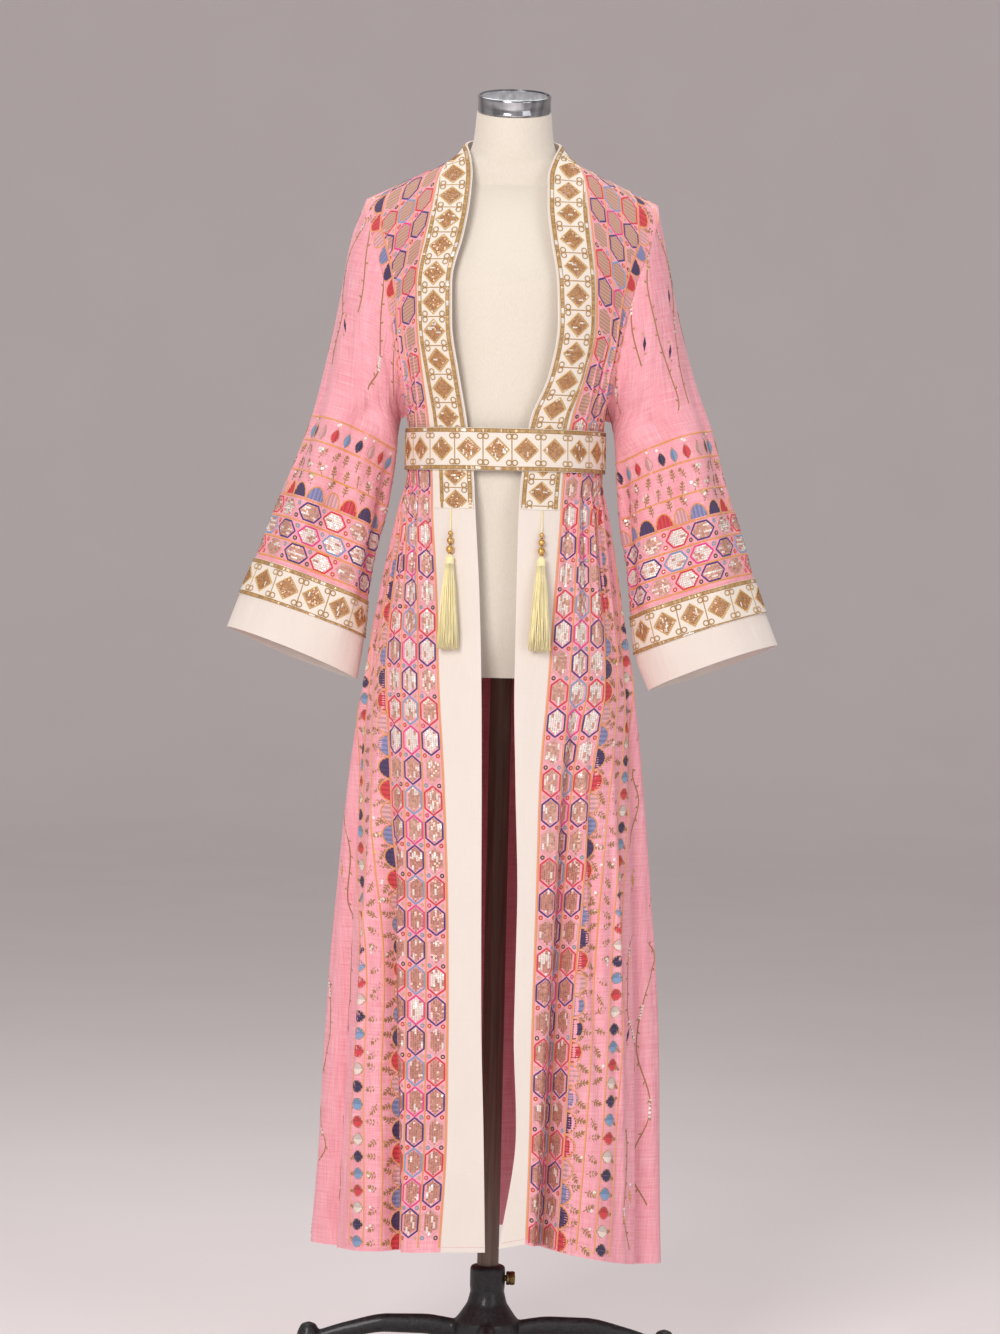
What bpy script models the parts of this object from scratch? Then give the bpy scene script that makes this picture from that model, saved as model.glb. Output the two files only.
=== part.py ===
"""An open-front abaya, belted, standing on a limbless dress form with a cast-iron foot.

Units are metres, +Z is up and the wearer faces -Y, so the wearer's right side is at -X.
The origin is on the floor, under the middle of the post.
"""

import math

import bmesh
import bpy
import numpy as np
from mathutils import Matrix, Vector

# Driving sizes of the cloth
WALL = 0.0012  # the cloth, as a wall
SEAM = 0.0003  # the room left where two pieces meet
BELT_TOP = 1.2525
BELT_BOTTOM = 1.1985
BELT_WALL = 0.0022
BELT_EASE = 0.0009
TRIM_END_Z = 1.145  # the neck trim stops here, below the belt
TRIM_LIFT = WALL + SEAM  # from a cloth's middle to the middle of what is sewn on it
BAND_EDGE = 0.04  # share of the band's width left plain beside the trim
NECK_TRIM_EDGE = 0.08  # the same share at the foot of the neck band
BELT_RELIEF = 0.03  # the belt eases down from the trim to the cloth over this width
NECK_BAND_BACK = 0.0650  # from the shoulder line to the band's top edge behind the neck
NECK_BAND_RISE = 0.0160

# Driving sizes of the stand
POST_R = 0.0140
BORE_R = 0.0145
POST_BOTTOM = 0.032
COLLAR_TOP = 0.166
COLLAR_R = 0.0230
HUB_R = 0.0430
HUB_BOTTOM = 0.040
LEG_REACH = 0.232  # from the post's axis to a foot's axis
LEG_WIDTH = 0.0216  # across the corners of its eight sides
LEG_DEPTH = 0.0280
LEG_TAPER = 0.25  # how much thinner its outer end is
FOOT_R = 0.0150
SCREW_Z = 0.149
SCREW_R = 0.0040
SCREW_HOLE_R = 0.0045
SCREW_GAP = 0.0004  # between the screw's tip and the post
KNOB_R = 0.0090
KNOB_LENGTH = 0.0120
CAP_R = 0.0475
CAP_HEIGHT = 0.022
CAP_LIP = 0.0030
CAP_RECESS = 0.0040
CAP_TILT = math.radians(16.0)
NECK_TOP = 1.664

# The body of the garment, one row for each level from the shoulder seam down to the hem.
# x_open is the band's free edge, x_seam its seam with the coloured cloth, z_seam its height,
# lift is how much higher the free edge stands, x_side, z_side and y_side are the armhole edge
# or the side seam, and depth is how far the front stands out from the middle of the body.
COLUMNS = ("x_open", "x_seam", "z_seam", "lift", "x_side", "y_side", "z_side", "depth")
RIGHT_ROWS = {
    "ridge": (0.0600, 0.0745, 1.6010, 0.020, 0.1880, 0.0000, 1.5470, 0.0000),
    "neck": (0.0540, 0.0880, 1.5880, 0.012, 0.1890, 0.0260, 1.5330, 0.0440),
    "collarbone": (0.0515, 0.0950, 1.5720, 0.004, 0.1850, 0.0440, 1.5150, 0.0560),
    "yoke": (0.0542, 0.1010, 1.5350, 0.000, 0.1755, 0.0600, 1.4850, 0.0860),
    "chest": (0.0605, 0.1085, 1.4960, 0.000, 0.1650, 0.0680, 1.4530, 0.1080),
    "bust": (0.0735, 0.1180, 1.4370, 0.000, 0.1550, 0.0700, 1.4080, 0.1290),
    "midriff": (0.0725, 0.1163, 1.3830, 0.000, 0.1480, 0.0650, 1.3620, 0.1270),
    "ribs": (0.0622, 0.1086, 1.3200, 0.000, 0.1390, 0.0480, 1.3120, 0.1160),
    "underarm": (0.0530, 0.1010, 1.2720, 0.000, 0.1290, 0.0000, 1.2680, 0.1060),
    "belt_top": (0.0500, 0.0988, 1.2540, 0.000, 0.1270, 0.0000, 1.2540, 0.1030),
    "belt_bottom": (0.0412, 0.0938, 1.1970, 0.000, 0.1270, 0.0000, 1.1970, 0.1030),
    "gathers": (0.0375, 0.0912, TRIM_END_Z, 0.000, 0.1360, 0.0000, TRIM_END_Z, 0.1200),
    "hip": (0.0300, 0.0830, 1.0400, 0.000, 0.1570, 0.0000, 1.0400, 0.1340),
    "thigh": (0.0250, 0.0780, 0.9300, 0.000, 0.1750, 0.0000, 0.9300, 0.1460),
    "above_knee": (0.0215, 0.0680, 0.8000, 0.000, 0.1920, 0.0000, 0.8000, 0.1590),
    "knee": (0.0185, 0.0600, 0.6500, 0.000, 0.2010, 0.0000, 0.6500, 0.1710),
    "calf": (0.0150, 0.0560, 0.5000, 0.000, 0.2090, 0.0000, 0.5000, 0.1780),
    "shin": (0.0090, 0.0545, 0.3600, 0.000, 0.2180, 0.0000, 0.3500, 0.1850),
    "hem": (0.0040, 0.0600, 0.2150, 0.002, 0.2270, 0.0000, 0.2020, 0.1920),
}
LEFT_ROWS = {
    "ridge": (0.0600, 0.0745, 1.6010, 0.020, 0.1880, 0.0000, 1.5470, 0.0000),
    "neck": (0.0515, 0.0860, 1.5880, 0.012, 0.1890, 0.0260, 1.5326, 0.0440),
    "collarbone": (0.0447, 0.0923, 1.5720, 0.004, 0.1840, 0.0440, 1.5100, 0.0560),
    "yoke": (0.0450, 0.0972, 1.5350, 0.000, 0.1745, 0.0600, 1.4800, 0.0860),
    "chest": (0.0495, 0.1022, 1.4960, 0.000, 0.1640, 0.0680, 1.4520, 0.1080),
    "bust": (0.0588, 0.1085, 1.4370, 0.000, 0.1530, 0.0700, 1.4080, 0.1290),
    "midriff": (0.0612, 0.1094, 1.3830, 0.000, 0.1440, 0.0650, 1.3600, 0.1270),
    "ribs": (0.0508, 0.0970, 1.3200, 0.000, 0.1350, 0.0480, 1.3120, 0.1160),
    "underarm": (0.0310, 0.0830, 1.2720, 0.000, 0.1260, 0.0000, 1.2680, 0.1060),
    "belt_top": (0.0268, 0.0795, 1.2540, 0.000, 0.1240, 0.0000, 1.2540, 0.1030),
    "belt_bottom": (0.0200, 0.0730, 1.1970, 0.000, 0.1240, 0.0000, 1.1970, 0.1030),
    "gathers": (0.0170, 0.0700, TRIM_END_Z, 0.000, 0.1310, 0.0000, TRIM_END_Z, 0.1200),
    "hip": (0.0165, 0.0640, 1.0400, 0.000, 0.1490, 0.0000, 1.0400, 0.1340),
    "thigh": (0.0167, 0.0585, 0.9300, 0.000, 0.1680, 0.0000, 0.9300, 0.1460),
    "above_knee": (0.0210, 0.0505, 0.8000, 0.000, 0.1830, 0.0000, 0.8000, 0.1590),
    "knee": (0.0265, 0.0495, 0.6500, 0.000, 0.1925, 0.0000, 0.6500, 0.1710),
    "calf": (0.0260, 0.0480, 0.5000, 0.000, 0.2030, 0.0000, 0.5000, 0.1780),
    "shin": (0.0315, 0.0480, 0.3650, 0.000, 0.2110, 0.0000, 0.3480, 0.1850),
    "hem": (0.0130, 0.0460, 0.2280, -0.006, 0.2190, 0.0000, 0.1830, 0.1920),
}
# The middle of the back at the same levels: how far it stands out, and its height
BACK_ROWS = {
    "ridge": (0.0720, 1.6080),
    "neck": (0.0860, 1.6000),
    "collarbone": (0.0960, 1.5860),
    "yoke": (0.1060, 1.5460),
    "chest": (0.1110, 1.4960),
    "bust": (0.1110, 1.4370),
    "midriff": (0.1050, 1.3830),
    "ribs": (0.0980, 1.3200),
    "underarm": (0.0940, 1.2720),
    "belt_top": (0.0920, 1.2540),
    "belt_bottom": (0.0930, 1.1970),
    "gathers": (0.1070, TRIM_END_Z),
    "hip": (0.1350, 1.0400),
    "thigh": (0.1550, 0.9300),
    "above_knee": (0.1690, 0.8000),
    "knee": (0.1810, 0.6500),
    "calf": (0.1910, 0.5000),
    "shin": (0.2000, 0.3500),
    "hem": (0.2080, 0.1850),
}
LEVELS = list(RIGHT_ROWS)
UNDERARM = LEVELS.index("underarm")
BELT = LEVELS.index("belt_top")
TRIM_END = LEVELS.index("gathers")
LAST = len(LEVELS) - 1
ROUNDNESS = 2.2  # 2 is an ellipse, more is squarer
ARMHOLE_HALF = 0.070  # half the widest armhole, front to back
ARMHOLE_OPENS = math.radians(34)  # the panels meet a sleeve before they turn to the side
SEAM_LEAN = 0.85  # share of a wall that a seam at a corner needs as extra room
BACK_SLOPE = 1.4  # how late a back level drops from the middle to the side
SHARPEST_CORNER = 0.6  # least share of a face's distance that a corner point may keep

# Large soft folds of the skirt: place across the panel at the belt and at the hem, half width,
# depth at the hem (a ridge is positive), the level it starts from, and how it grows below
# that (a share under 1 opens it sooner)
FOLD_FREE_EDGE = 0.05  # share of a panel beside its seams where folds fade out
FRONT_FOLDS = {
    "right": {
        "column_fold": (0.43, 0.235, 0.075, -0.030, 12.2, 0.8),
        "sprig_ridge": (0.60, 0.400, 0.130, 0.006, 11.0, 0.8),
        "leaf_fold": (0.80, 0.630, 0.070, -0.016, 12.6, 0.8),
        "side_ridge": (0.88, 0.770, 0.090, 0.011, 11.0, 0.8),
        "side_trough": (0.94, 0.900, 0.070, -0.012, 11.0, 0.8),
    },
    "left": {
        "band_fold": (0.24, 0.105, 0.085, -0.040, 13.1, 0.55),
        "sprig_ridge": (0.50, 0.330, 0.130, 0.006, 12.0, 0.8),
        "plain_fold": (0.80, 0.660, 0.080, -0.013, 12.0, 0.8),
        "side_ridge": (0.88, 0.790, 0.090, 0.012, 11.0, 0.8),
        "side_trough": (0.94, 0.910, 0.070, -0.012, 11.0, 0.8),
    },
}
BACK_FOLDS = {
    "trough_1": (0.09, 0.08, 0.06, -0.015, 10.5, 0.8),
    "ridge_1": (0.19, 0.18, 0.07, 0.016, 10.0, 0.8),
    "trough_2": (0.30, 0.29, 0.07, -0.022, 10.0, 0.8),
    "ridge_2": (0.40, 0.39, 0.07, 0.017, 10.5, 0.8),
    "trough_3": (0.50, 0.49, 0.07, -0.020, 10.0, 0.8),
    "ridge_3": (0.59, 0.60, 0.07, 0.018, 10.5, 0.8),
    "trough_4": (0.68, 0.70, 0.07, -0.021, 10.0, 0.8),
    "ridge_4": (0.79, 0.81, 0.07, 0.015, 10.0, 0.8),
    "trough_5": (0.90, 0.92, 0.06, -0.015, 10.5, 0.8),
}

# A sleeve, one row for each section from the armhole to the cuff's edge: its outer fold and its
# underarm edge, seen from the front, its half depth, and how far forward its middle lies
RIGHT_SLEEVE = {
    "armhole": (0.1880, 1.5470, 0.1290, 1.2680, 0.0700, 0.000),
    "shoulder_drop": (0.2070, 1.4940, 0.1370, 1.2655, 0.0680, 0.000),
    "upper_arm": (0.2200, 1.4160, 0.1400, 1.2530, 0.0620, 0.000),
    "elbow": (0.2370, 1.3300, 0.1415, 1.2400, 0.0570, 0.002),
    "first_stripe": (0.2530, 1.2640, 0.1425, 1.2210, 0.0530, 0.004),
    "third_stripe": (0.2760, 1.2000, 0.1520, 1.1490, 0.0500, 0.008),
    "fifth_stripe": (0.3010, 1.1360, 0.1660, 1.0920, 0.0480, 0.012),
    "trim_top": (0.3210, 1.0800, 0.1755, 1.0280, 0.0470, 0.016),
    "trim_foot": (0.3400, 1.0330, 0.1790, 0.9800, 0.0460, 0.019),
    "cuff_edge": (0.3555, 0.9910, 0.1865, 0.9270, 0.0450, 0.022),
}
LEFT_SLEEVE = {
    "armhole": (0.1880, 1.5470, 0.1260, 1.2680, 0.0700, 0.000),
    "shoulder_drop": (0.2010, 1.4850, 0.1345, 1.2655, 0.0680, 0.000),
    "upper_arm": (0.2190, 1.4000, 0.1380, 1.2530, 0.0620, 0.000),
    "elbow": (0.2420, 1.3200, 0.1400, 1.2400, 0.0570, 0.002),
    "first_stripe": (0.2655, 1.2560, 0.1415, 1.2200, 0.0530, 0.004),
    "third_stripe": (0.2840, 1.1900, 0.1480, 1.1380, 0.0500, 0.008),
    "fifth_stripe": (0.3060, 1.1250, 0.1590, 1.0780, 0.0480, 0.012),
    "trim_top": (0.3230, 1.0680, 0.1660, 1.0160, 0.0470, 0.016),
    "trim_foot": (0.3390, 1.0240, 0.1730, 0.9650, 0.0460, 0.019),
    "cuff_edge": (0.3555, 0.9830, 0.1905, 0.9210, 0.0450, 0.022),
}
SLEEVE_LEVELS = list(RIGHT_SLEEVE)
TRIM_TOP = SLEEVE_LEVELS.index("trim_top")
TRIM_FOOT = SLEEVE_LEVELS.index("trim_foot")
CUFF_EDGE = SLEEVE_LEVELS.index("cuff_edge")
CUFF_FLATNESS = 0.4  # the folded edges of the sleeve grow sharper towards the cuff
CUFF_TILT = 0.16  # the cuff's back hangs lower than its front, as a slope
SLEEVE_FOLDS = {
    # section where it is deepest, place round the sleeve in degrees, half width, depth
    "elbow_crease": (3.2, 105.0, 42.0, -0.009),
    "underarm_fold": (4.6, 140.0, 34.0, -0.008),
    "long_ridge": (5.0, 60.0, 36.0, 0.007),
    "back_crease": (3.6, 250.0, 40.0, -0.010),
}
SLEEVE_FOLD_LENGTH = 2.0  # in sections
ARMHOLE_SHAPE = {1: 1.0, 2: 0.5}  # how much of the armhole's own shape these sections keep

# The dress form, one row for each level: half width, front and back half depth
FORM_ROWS = {
    "base": (0.9350, 0.1400, 0.1000, 0.1080),
    "hip": (1.0000, 0.1430, 0.1080, 0.1160),
    "high_hip": (1.0800, 0.1330, 0.1020, 0.1060),
    "above_hip": (1.1500, 0.1180, 0.0920, 0.0900),
    "waist": (1.2250, 0.1080, 0.0860, 0.0800),
    "ribs": (1.3000, 0.1160, 0.0940, 0.0840),
    "under_bust": (1.3700, 0.1260, 0.1060, 0.0900),
    "bust": (1.4350, 0.1340, 0.1160, 0.0960),
    "chest": (1.4900, 0.1440, 0.0940, 0.0960),
    "yoke": (1.5300, 0.1530, 0.0680, 0.0760),
    "shoulder_point": (1.5560, 0.1530, 0.0480, 0.0540),
    "outer_slope": (1.5680, 0.1400, 0.0400, 0.0460),
    "middle_slope": (1.5803, 0.1140, 0.0400, 0.0460),
    "inner_slope": (1.5920, 0.0880, 0.0400, 0.0420),
    "neck_root": (1.6030, 0.0620, 0.0430, 0.0460),
    "neck": (1.6250, 0.0520, 0.0460, 0.0480),
    "neck_top": (NECK_TOP, 0.0478, 0.0470, 0.0470),
}
FORM_LEVELS = (0, 1, 2, 3, 4, 5, 6, 7, 8, 9, 9.6, 10, 10.5, 11, 12, 13, 13.5, 14, 15, 16)
FORM_ROUNDNESS = 2.35  # of the torso; from the shoulders up its levels are ellipses
SHOULDER_Z = 1.560
NECK_TILT_START = 1.600

# Tassels: the wearer's right one and left one, by their place across the front
TASSEL_X = {"right": -0.0680, "left": 0.0465}
TASSEL_LEAN = math.radians(-15.0)
TASSEL_CORD = 0.0245
TASSEL_CORD_R = 0.0011
TASSEL_STANDS_OFF = WALL / 2 + SEAM + TASSEL_CORD_R  # its cord lies on the band
BEAD_RADII = (0.0030, 0.0044, 0.0050)
SPACER_R = 0.0016
SPACER_LENGTH = 0.0022
HEAD_RINGS = ((0.0030, 0.0), (0.0058, 0.0040), (0.0054, 0.0100), (0.0062, 0.0125))
STRAND_RINGS = (0.0043, 0.0024, 0.0009)  # radii that part the head's underside into cells
STRAND_GAP = 0.00022  # half the room between two strands at their roots
STRAND_LENGTH = 0.108
STRAND_BENDS = ((0.30, 1.6), (1.0, 2.6))  # share of the length, and how far it has spread
STRAND_GROWTH = 1.15  # how much wider a strand is at each bend
STRAND_UNEVEN = 0.14  # share of the length by which strands differ
STRAND_FLATNESS = 0.5  # a hanging tassel is thinner from front to back
STRAND_DRIFT = 0.009  # how far the strands fall back towards the cloth

# How finely each piece is drawn
ARM_STEPS = 9
RIDGE_ROW = 0.011  # share of the armhole at the first row past the shoulder seam
# Columns of a front panel from the band's seam to its side, closer where its deepest fold runs
FRONT_SHARES = {
    "right": (
        (0.0, 0.05, 0.10, 0.145, 0.18, 0.21, 0.24, 0.27, 0.30, 0.335)
        + (0.38, 0.44, 0.51, 0.58, 0.65, 0.72, 0.80, 0.90, 1.0)
    ),
    "left": (
        (0.0, 0.025, 0.05, 0.075, 0.10, 0.125, 0.15, 0.18, 0.22, 0.28)
        + (0.35, 0.43, 0.51, 0.59, 0.67, 0.75, 0.83, 0.91, 1.0)
    ),
}
BACK_STEPS = 36
NECK_STEPS = 10
SKIRT_ROWS = (11.0, 11.5, 12.0, 12.8, 13.7, 14.7, 15.8, 16.9, 18.0)
SLEEVE_ROWS = (0, 0.5, 1, 1.5, 2, 2.5, 3, 3.5, 4, 4.5, 5, 5.5, 6, 6.5)
BAND_SHARES = (0.0, BAND_EDGE, 0.5, 1 - BAND_EDGE, 1.0)
ROUND_STEPS = 20
FORM_STEPS = 24
SMALL_STEPS = 12
LEG_STEPS = 8

COLOURS = {
    # base colour, roughness, metallic
    "pink_cloth": ((0.83, 0.29, 0.34), 0.80, 0.0),
    "cream_cloth": ((0.90, 0.82, 0.75), 0.75, 0.0),
    "gold_trim": ((0.72, 0.55, 0.28), 0.45, 0.3),
    "silk": ((0.80, 0.68, 0.34), 0.55, 0.0),
    "bead": ((0.62, 0.36, 0.12), 0.25, 0.6),
    "jersey": ((0.88, 0.76, 0.55), 0.80, 0.0),
    "chrome": ((0.62, 0.63, 0.65), 0.12, 1.0),
    "post_paint": ((0.19, 0.15, 0.12), 0.55, 0.0),
    "cast_iron": ((0.02, 0.02, 0.022), 0.50, 0.6),
    "screw_brass": ((0.22, 0.17, 0.09), 0.45, 1.0),
}


# Helpers: tables, smooth interpolation and solids


def clear_scene():
    for obj in list(bpy.data.objects):
        bpy.data.objects.remove(obj, do_unlink=True)


def make_material(name):
    colour, roughness, metallic = COLOURS[name]
    material = bpy.data.materials.new(name)
    material.use_nodes = True
    shader = material.node_tree.nodes["Principled BSDF"]
    shader.inputs["Base Color"].default_value = (*colour, 1.0)
    shader.inputs["Roughness"].default_value = roughness
    shader.inputs["Metallic"].default_value = metallic
    return material


def column(table, columns, name):
    return np.array([row[columns.index(name)] for row in table.values()])


def slopes(values):
    """Slopes at each level that never overshoot, for a smooth curve through all of them."""
    steps = np.diff(values, axis=0)
    inner = np.zeros_like(values)
    product = steps[:-1] * steps[1:]
    total = steps[:-1] + steps[1:]
    safe = np.where(np.abs(total) < 1e-12, 1.0, total)
    inner[1:-1] = np.where(product > 0.0, 2.0 * product / safe, 0.0)
    inner[0] = steps[0]
    inner[-1] = steps[-1]
    return inner


def smooth(values, where):
    """Reads a table of levels at fractional places, level 0 being the first row."""
    values = np.asarray(values, dtype=float)
    rate = slopes(values)
    where = np.asarray(where, dtype=float)
    low = np.clip(np.floor(where).astype(int), 0, len(values) - 2)
    part = (where - low).reshape((-1,) + (1,) * (values.ndim - 1))
    h00 = 2 * part**3 - 3 * part**2 + 1
    h10 = part**3 - 2 * part**2 + part
    h01 = -2 * part**3 + 3 * part**2
    h11 = part**3 - part**2
    return h00 * values[low] + h10 * rate[low] + h01 * values[low + 1] + h11 * rate[low + 1]


def grid_normals(points, closed):
    """Unit normals of a grid of rows and columns, from its neighbours' positions."""
    along = np.gradient(points, axis=0)
    if closed:
        across = np.roll(points, -1, axis=1) - np.roll(points, 1, axis=1)
    else:
        across = np.gradient(points, axis=1)
    normal = np.cross(across, along)
    length = np.linalg.norm(normal, axis=2, keepdims=True)
    return normal / np.maximum(length, 1e-12)


def corner_stretch(points, normals):
    """How much further a corner point moves so that the faces beside it keep their distance."""
    face = np.cross(points[:-1, 1:] - points[:-1, :-1], points[1:, :-1] - points[:-1, :-1])
    face = face / np.linalg.norm(face, axis=2, keepdims=True)
    rows, cols = points.shape[:2]
    worst = np.ones((rows, cols))
    for i in (0, 1):
        for j in (0, 1):
            part = normals[i : rows - 1 + i, j : cols - 1 + j]
            dots = np.abs(np.sum(part * face, axis=2))
            view = worst[i : rows - 1 + i, j : cols - 1 + j]
            np.minimum(view, dots, out=view)
    return 1 / np.maximum(worst, SHARPEST_CORNER)[:, :, None]


def square_to(normals, direction):
    """Turns normals square to a direction, so that a seam's edge stands square to the seam."""
    direction = np.asarray(direction, dtype=float)
    flat = normals - np.sum(normals * direction, axis=-1, keepdims=True) * direction
    return flat / np.linalg.norm(flat, axis=-1, keepdims=True)


def mesh_object(name, vertices, faces, material):
    mesh = bpy.data.meshes.new(name)
    mesh.from_pydata([tuple(map(float, v)) for v in vertices], [], faces)
    mesh.validate()
    shell = bmesh.new()
    shell.from_mesh(mesh)
    bmesh.ops.recalc_face_normals(shell, faces=shell.faces)
    shell.to_mesh(mesh)
    shell.free()
    mesh.materials.append(material)
    mesh.shade_smooth()
    mesh.set_sharp_from_angle(angle=math.radians(50))
    obj = bpy.data.objects.new(name, mesh)
    bpy.context.collection.objects.link(obj)
    return obj


def wall_object(name, points, normals, material, thickness=WALL, closed=False):
    """A wall of even thickness on a grid: both faces, and a rim along each open edge."""
    rows, cols = points.shape[:2]
    outer = (points + normals * thickness / 2).reshape(-1, 3)
    inner = (points - normals * thickness / 2).reshape(-1, 3)
    count = rows * cols
    faces = []
    last = cols if closed else cols - 1
    for i in range(rows - 1):
        for j in range(last):
            k = (j + 1) % cols
            a, b, c, d = i * cols + j, i * cols + k, (i + 1) * cols + k, (i + 1) * cols + j
            faces += [(a, b, c), (a, c, d)]
            faces += [(count + a, count + c, count + b), (count + a, count + d, count + c)]
    for i in (0, rows - 1):
        for j in range(last):
            k = (j + 1) % cols
            a, b = i * cols + j, i * cols + k
            faces.append((a, b, count + b, count + a))
    if not closed:
        for j in (0, cols - 1):
            for i in range(rows - 1):
                a, b = i * cols + j, (i + 1) * cols + j
                faces.append((a, b, count + b, count + a))
    return mesh_object(name, np.vstack([outer, inner]), faces, material)


def turned_object(name, profile, material, steps=ROUND_STEPS, place=None):
    """A turned solid from (radius, height) pairs; a radius of 0 closes it on the axis."""
    vertices = []
    rings = []
    for radius, height in profile:
        if radius == 0.0:
            rings.append([len(vertices)])
            vertices.append(Vector((0.0, 0.0, height)))
            continue
        start = len(vertices)
        for j in range(steps):
            turn = 2 * math.pi * j / steps
            vertices.append(Vector((radius * math.cos(turn), radius * math.sin(turn), height)))
        rings.append(list(range(start, start + steps)))
    pairs = list(zip(rings, rings[1:]))
    if profile[0][0] != 0.0 and profile[-1][0] != 0.0:
        pairs.append((rings[-1], rings[0]))
    faces = []
    for low, high in pairs:
        for j in range(steps):
            k = (j + 1) % steps
            if len(low) == 1:
                faces.append((low[0], high[k], high[j]))
            elif len(high) == 1:
                faces.append((low[j], low[k], high[0]))
            else:
                faces.append((low[j], low[k], high[k], high[j]))
    if place is not None:
        vertices = [place @ v for v in vertices]
    return mesh_object(name, vertices, faces, material)


def boolean(target, cutter, operation):
    """Applies an exact Boolean to a mesh and removes the other one."""
    modifier = target.modifiers.new(operation.lower(), "BOOLEAN")
    modifier.operation = operation
    modifier.solver = "EXACT"
    modifier.object = cutter
    graph = bpy.context.evaluated_depsgraph_get()
    result = bpy.data.meshes.new_from_object(target.evaluated_get(graph))
    target.modifiers.clear()
    target.data = result
    bpy.data.objects.remove(cutter, do_unlink=True)


# The body of the garment


def turn_limit(y_side):
    """How far a level's curve turns: to the side at a side seam, less far at an armhole."""
    return math.pi / 2 - ARMHOLE_OPENS * y_side / ARMHOLE_HALF


def outline_point(x_side, y_side, depth, limit, angle):
    """A point of a level's outline: angle 0 is at the middle, the limit at the side."""
    power = 2 / ROUNDNESS
    last_wide = math.sin(limit) ** power
    last_deep = max(0.0, math.cos(limit)) ** power
    wide = np.abs(np.sin(angle)) ** power / last_wide
    deep = (np.maximum(np.cos(angle), 0.0) ** power - last_deep) / (1 - last_deep)
    return x_side * wide, y_side + (depth - y_side) * deep


def edge_angle(get, name):
    limit = turn_limit(get["y_side"])
    share = get[name] / get["x_side"] * math.sin(limit) ** (2 / ROUNDNESS)
    return math.asin(min(1.0, share ** (ROUNDNESS / 2)))


def front_grid(table, side, where, shares):
    """Coloured front panel: shares run 0 at the band's seam to 1 at the side."""
    rows = []
    for level in LEVELS:
        get = dict(zip(COLUMNS, table[level]))
        start, limit = edge_angle(get, "x_seam"), turn_limit(get["y_side"])
        angle = start + (limit - start) * shares
        x, y = outline_point(get["x_side"], get["y_side"], get["depth"], limit, angle)
        across = (x - get["x_seam"]) / (get["x_side"] - get["x_seam"])
        z = get["z_seam"] + (get["z_side"] - get["z_seam"]) * across
        rows.append(np.stack([side * x, -y, z], axis=1))
    points = smooth(rows, where)
    return fold_skirt(points, where, shares, FRONT_FOLDS["right" if side < 0 else "left"])


def band_grid(table, side, where, shares):
    """Cream band: shares run 0 at its free edge to 1 at its seam."""
    rows = []
    for level in LEVELS:
        get = dict(zip(COLUMNS, table[level]))
        start, stop = edge_angle(get, "x_open"), edge_angle(get, "x_seam")
        angle = start + (stop - start) * shares
        limit = turn_limit(get["y_side"])
        x, y = outline_point(get["x_side"], get["y_side"], get["depth"], limit, angle)
        z = get["z_seam"] + get["lift"] * (1 - shares)
        rows.append(np.stack([side * x, -y, z], axis=1))
    return smooth(rows, where)


def back_grid(where, shares):
    """Back panel: shares run 0 at the wearer's right side to 1 at the left side."""
    rows = []
    for level in LEVELS:
        depth, height = BACK_ROWS[level]
        points = []
        for share in shares:
            side = -1 if share < 0.5 else 1
            get = dict(zip(COLUMNS, (RIGHT_ROWS if side < 0 else LEFT_ROWS)[level]))
            limit = turn_limit(get["y_side"])
            angle = abs(share - 0.5) * 2 * limit
            x, y = outline_point(get["x_side"], get["y_side"], depth, limit, angle)
            z = height + (get["z_side"] - height) * (x / get["x_side"]) ** BACK_SLOPE
            if level == "ridge":
                x, y, z = ridge_point(get, x, depth, height)
            points.append((side * x, y, z))
        rows.append(np.array(points))
    points = smooth(rows, where)
    return fold_skirt(points, where, shares, BACK_FOLDS)


def ridge_point(get, x, depth, height):
    """The back's top edge: round the neck as far as the seam, then along the shoulder."""
    neck = get["x_seam"]
    if x < neck:
        part = math.sqrt(1 - (x / neck) ** 2)
        return x, depth * part, get["z_seam"] + (height - get["z_seam"]) * part
    across = (x - neck) / (get["x_side"] - neck)
    return x, 0.0, get["z_seam"] + (get["z_side"] - get["z_seam"]) * across


def fold_skirt(points, where, shares, folds):
    """Moves a panel's points along its normals, and leaves its seams where they are."""
    normals = outward(points, grid_normals(points, False))
    amount = np.zeros(points.shape[:2])
    where = np.asarray(where)
    for at_belt, at_hem, half_width, depth, start, growth in folds.values():
        grow = np.clip((where - start) / (LAST - start), 0.0, 1.0) ** growth
        middle = at_belt + (at_hem - at_belt) * grow
        away = np.clip(np.abs(shares[None, :] - middle[:, None]) / half_width, 0.0, 1.0)
        amount += depth * grow[:, None] * (0.5 + 0.5 * np.cos(math.pi * away))
    edge = np.clip(np.minimum(shares, 1 - shares) / FOLD_FREE_EDGE, 0, 1)
    return points + normals * (amount * edge[None, :])[:, :, None]


def outward(points, normals, middle=None):
    """Turns a whole grid's normals away from the body's axis, or from a given middle line."""
    away = points.copy()
    if middle is None:
        away[:, :, 2] = 0.0
    else:
        away = points - middle[:, None, :]
    if np.sum(away * normals) < 0:
        normals = -normals
    return normals


def body_levels():
    """Places of the rows: closer near the ends of the armhole, then belt and skirt."""
    dense = np.linspace(0, UNDERARM, 400)
    heights = smooth(column(RIGHT_ROWS, COLUMNS, "z_side"), dense)
    share = (heights[0] - heights) / (heights[0] - heights[-1])
    even = (1 - np.cos(np.linspace(0, math.pi, ARM_STEPS))) / 2
    wanted = np.concatenate([[0.0, RIDGE_ROW], even[1:]])
    arm = np.interp(wanted, share, dense)
    return np.concatenate([arm, [BELT, BELT + 1], SKIRT_ROWS])


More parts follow.
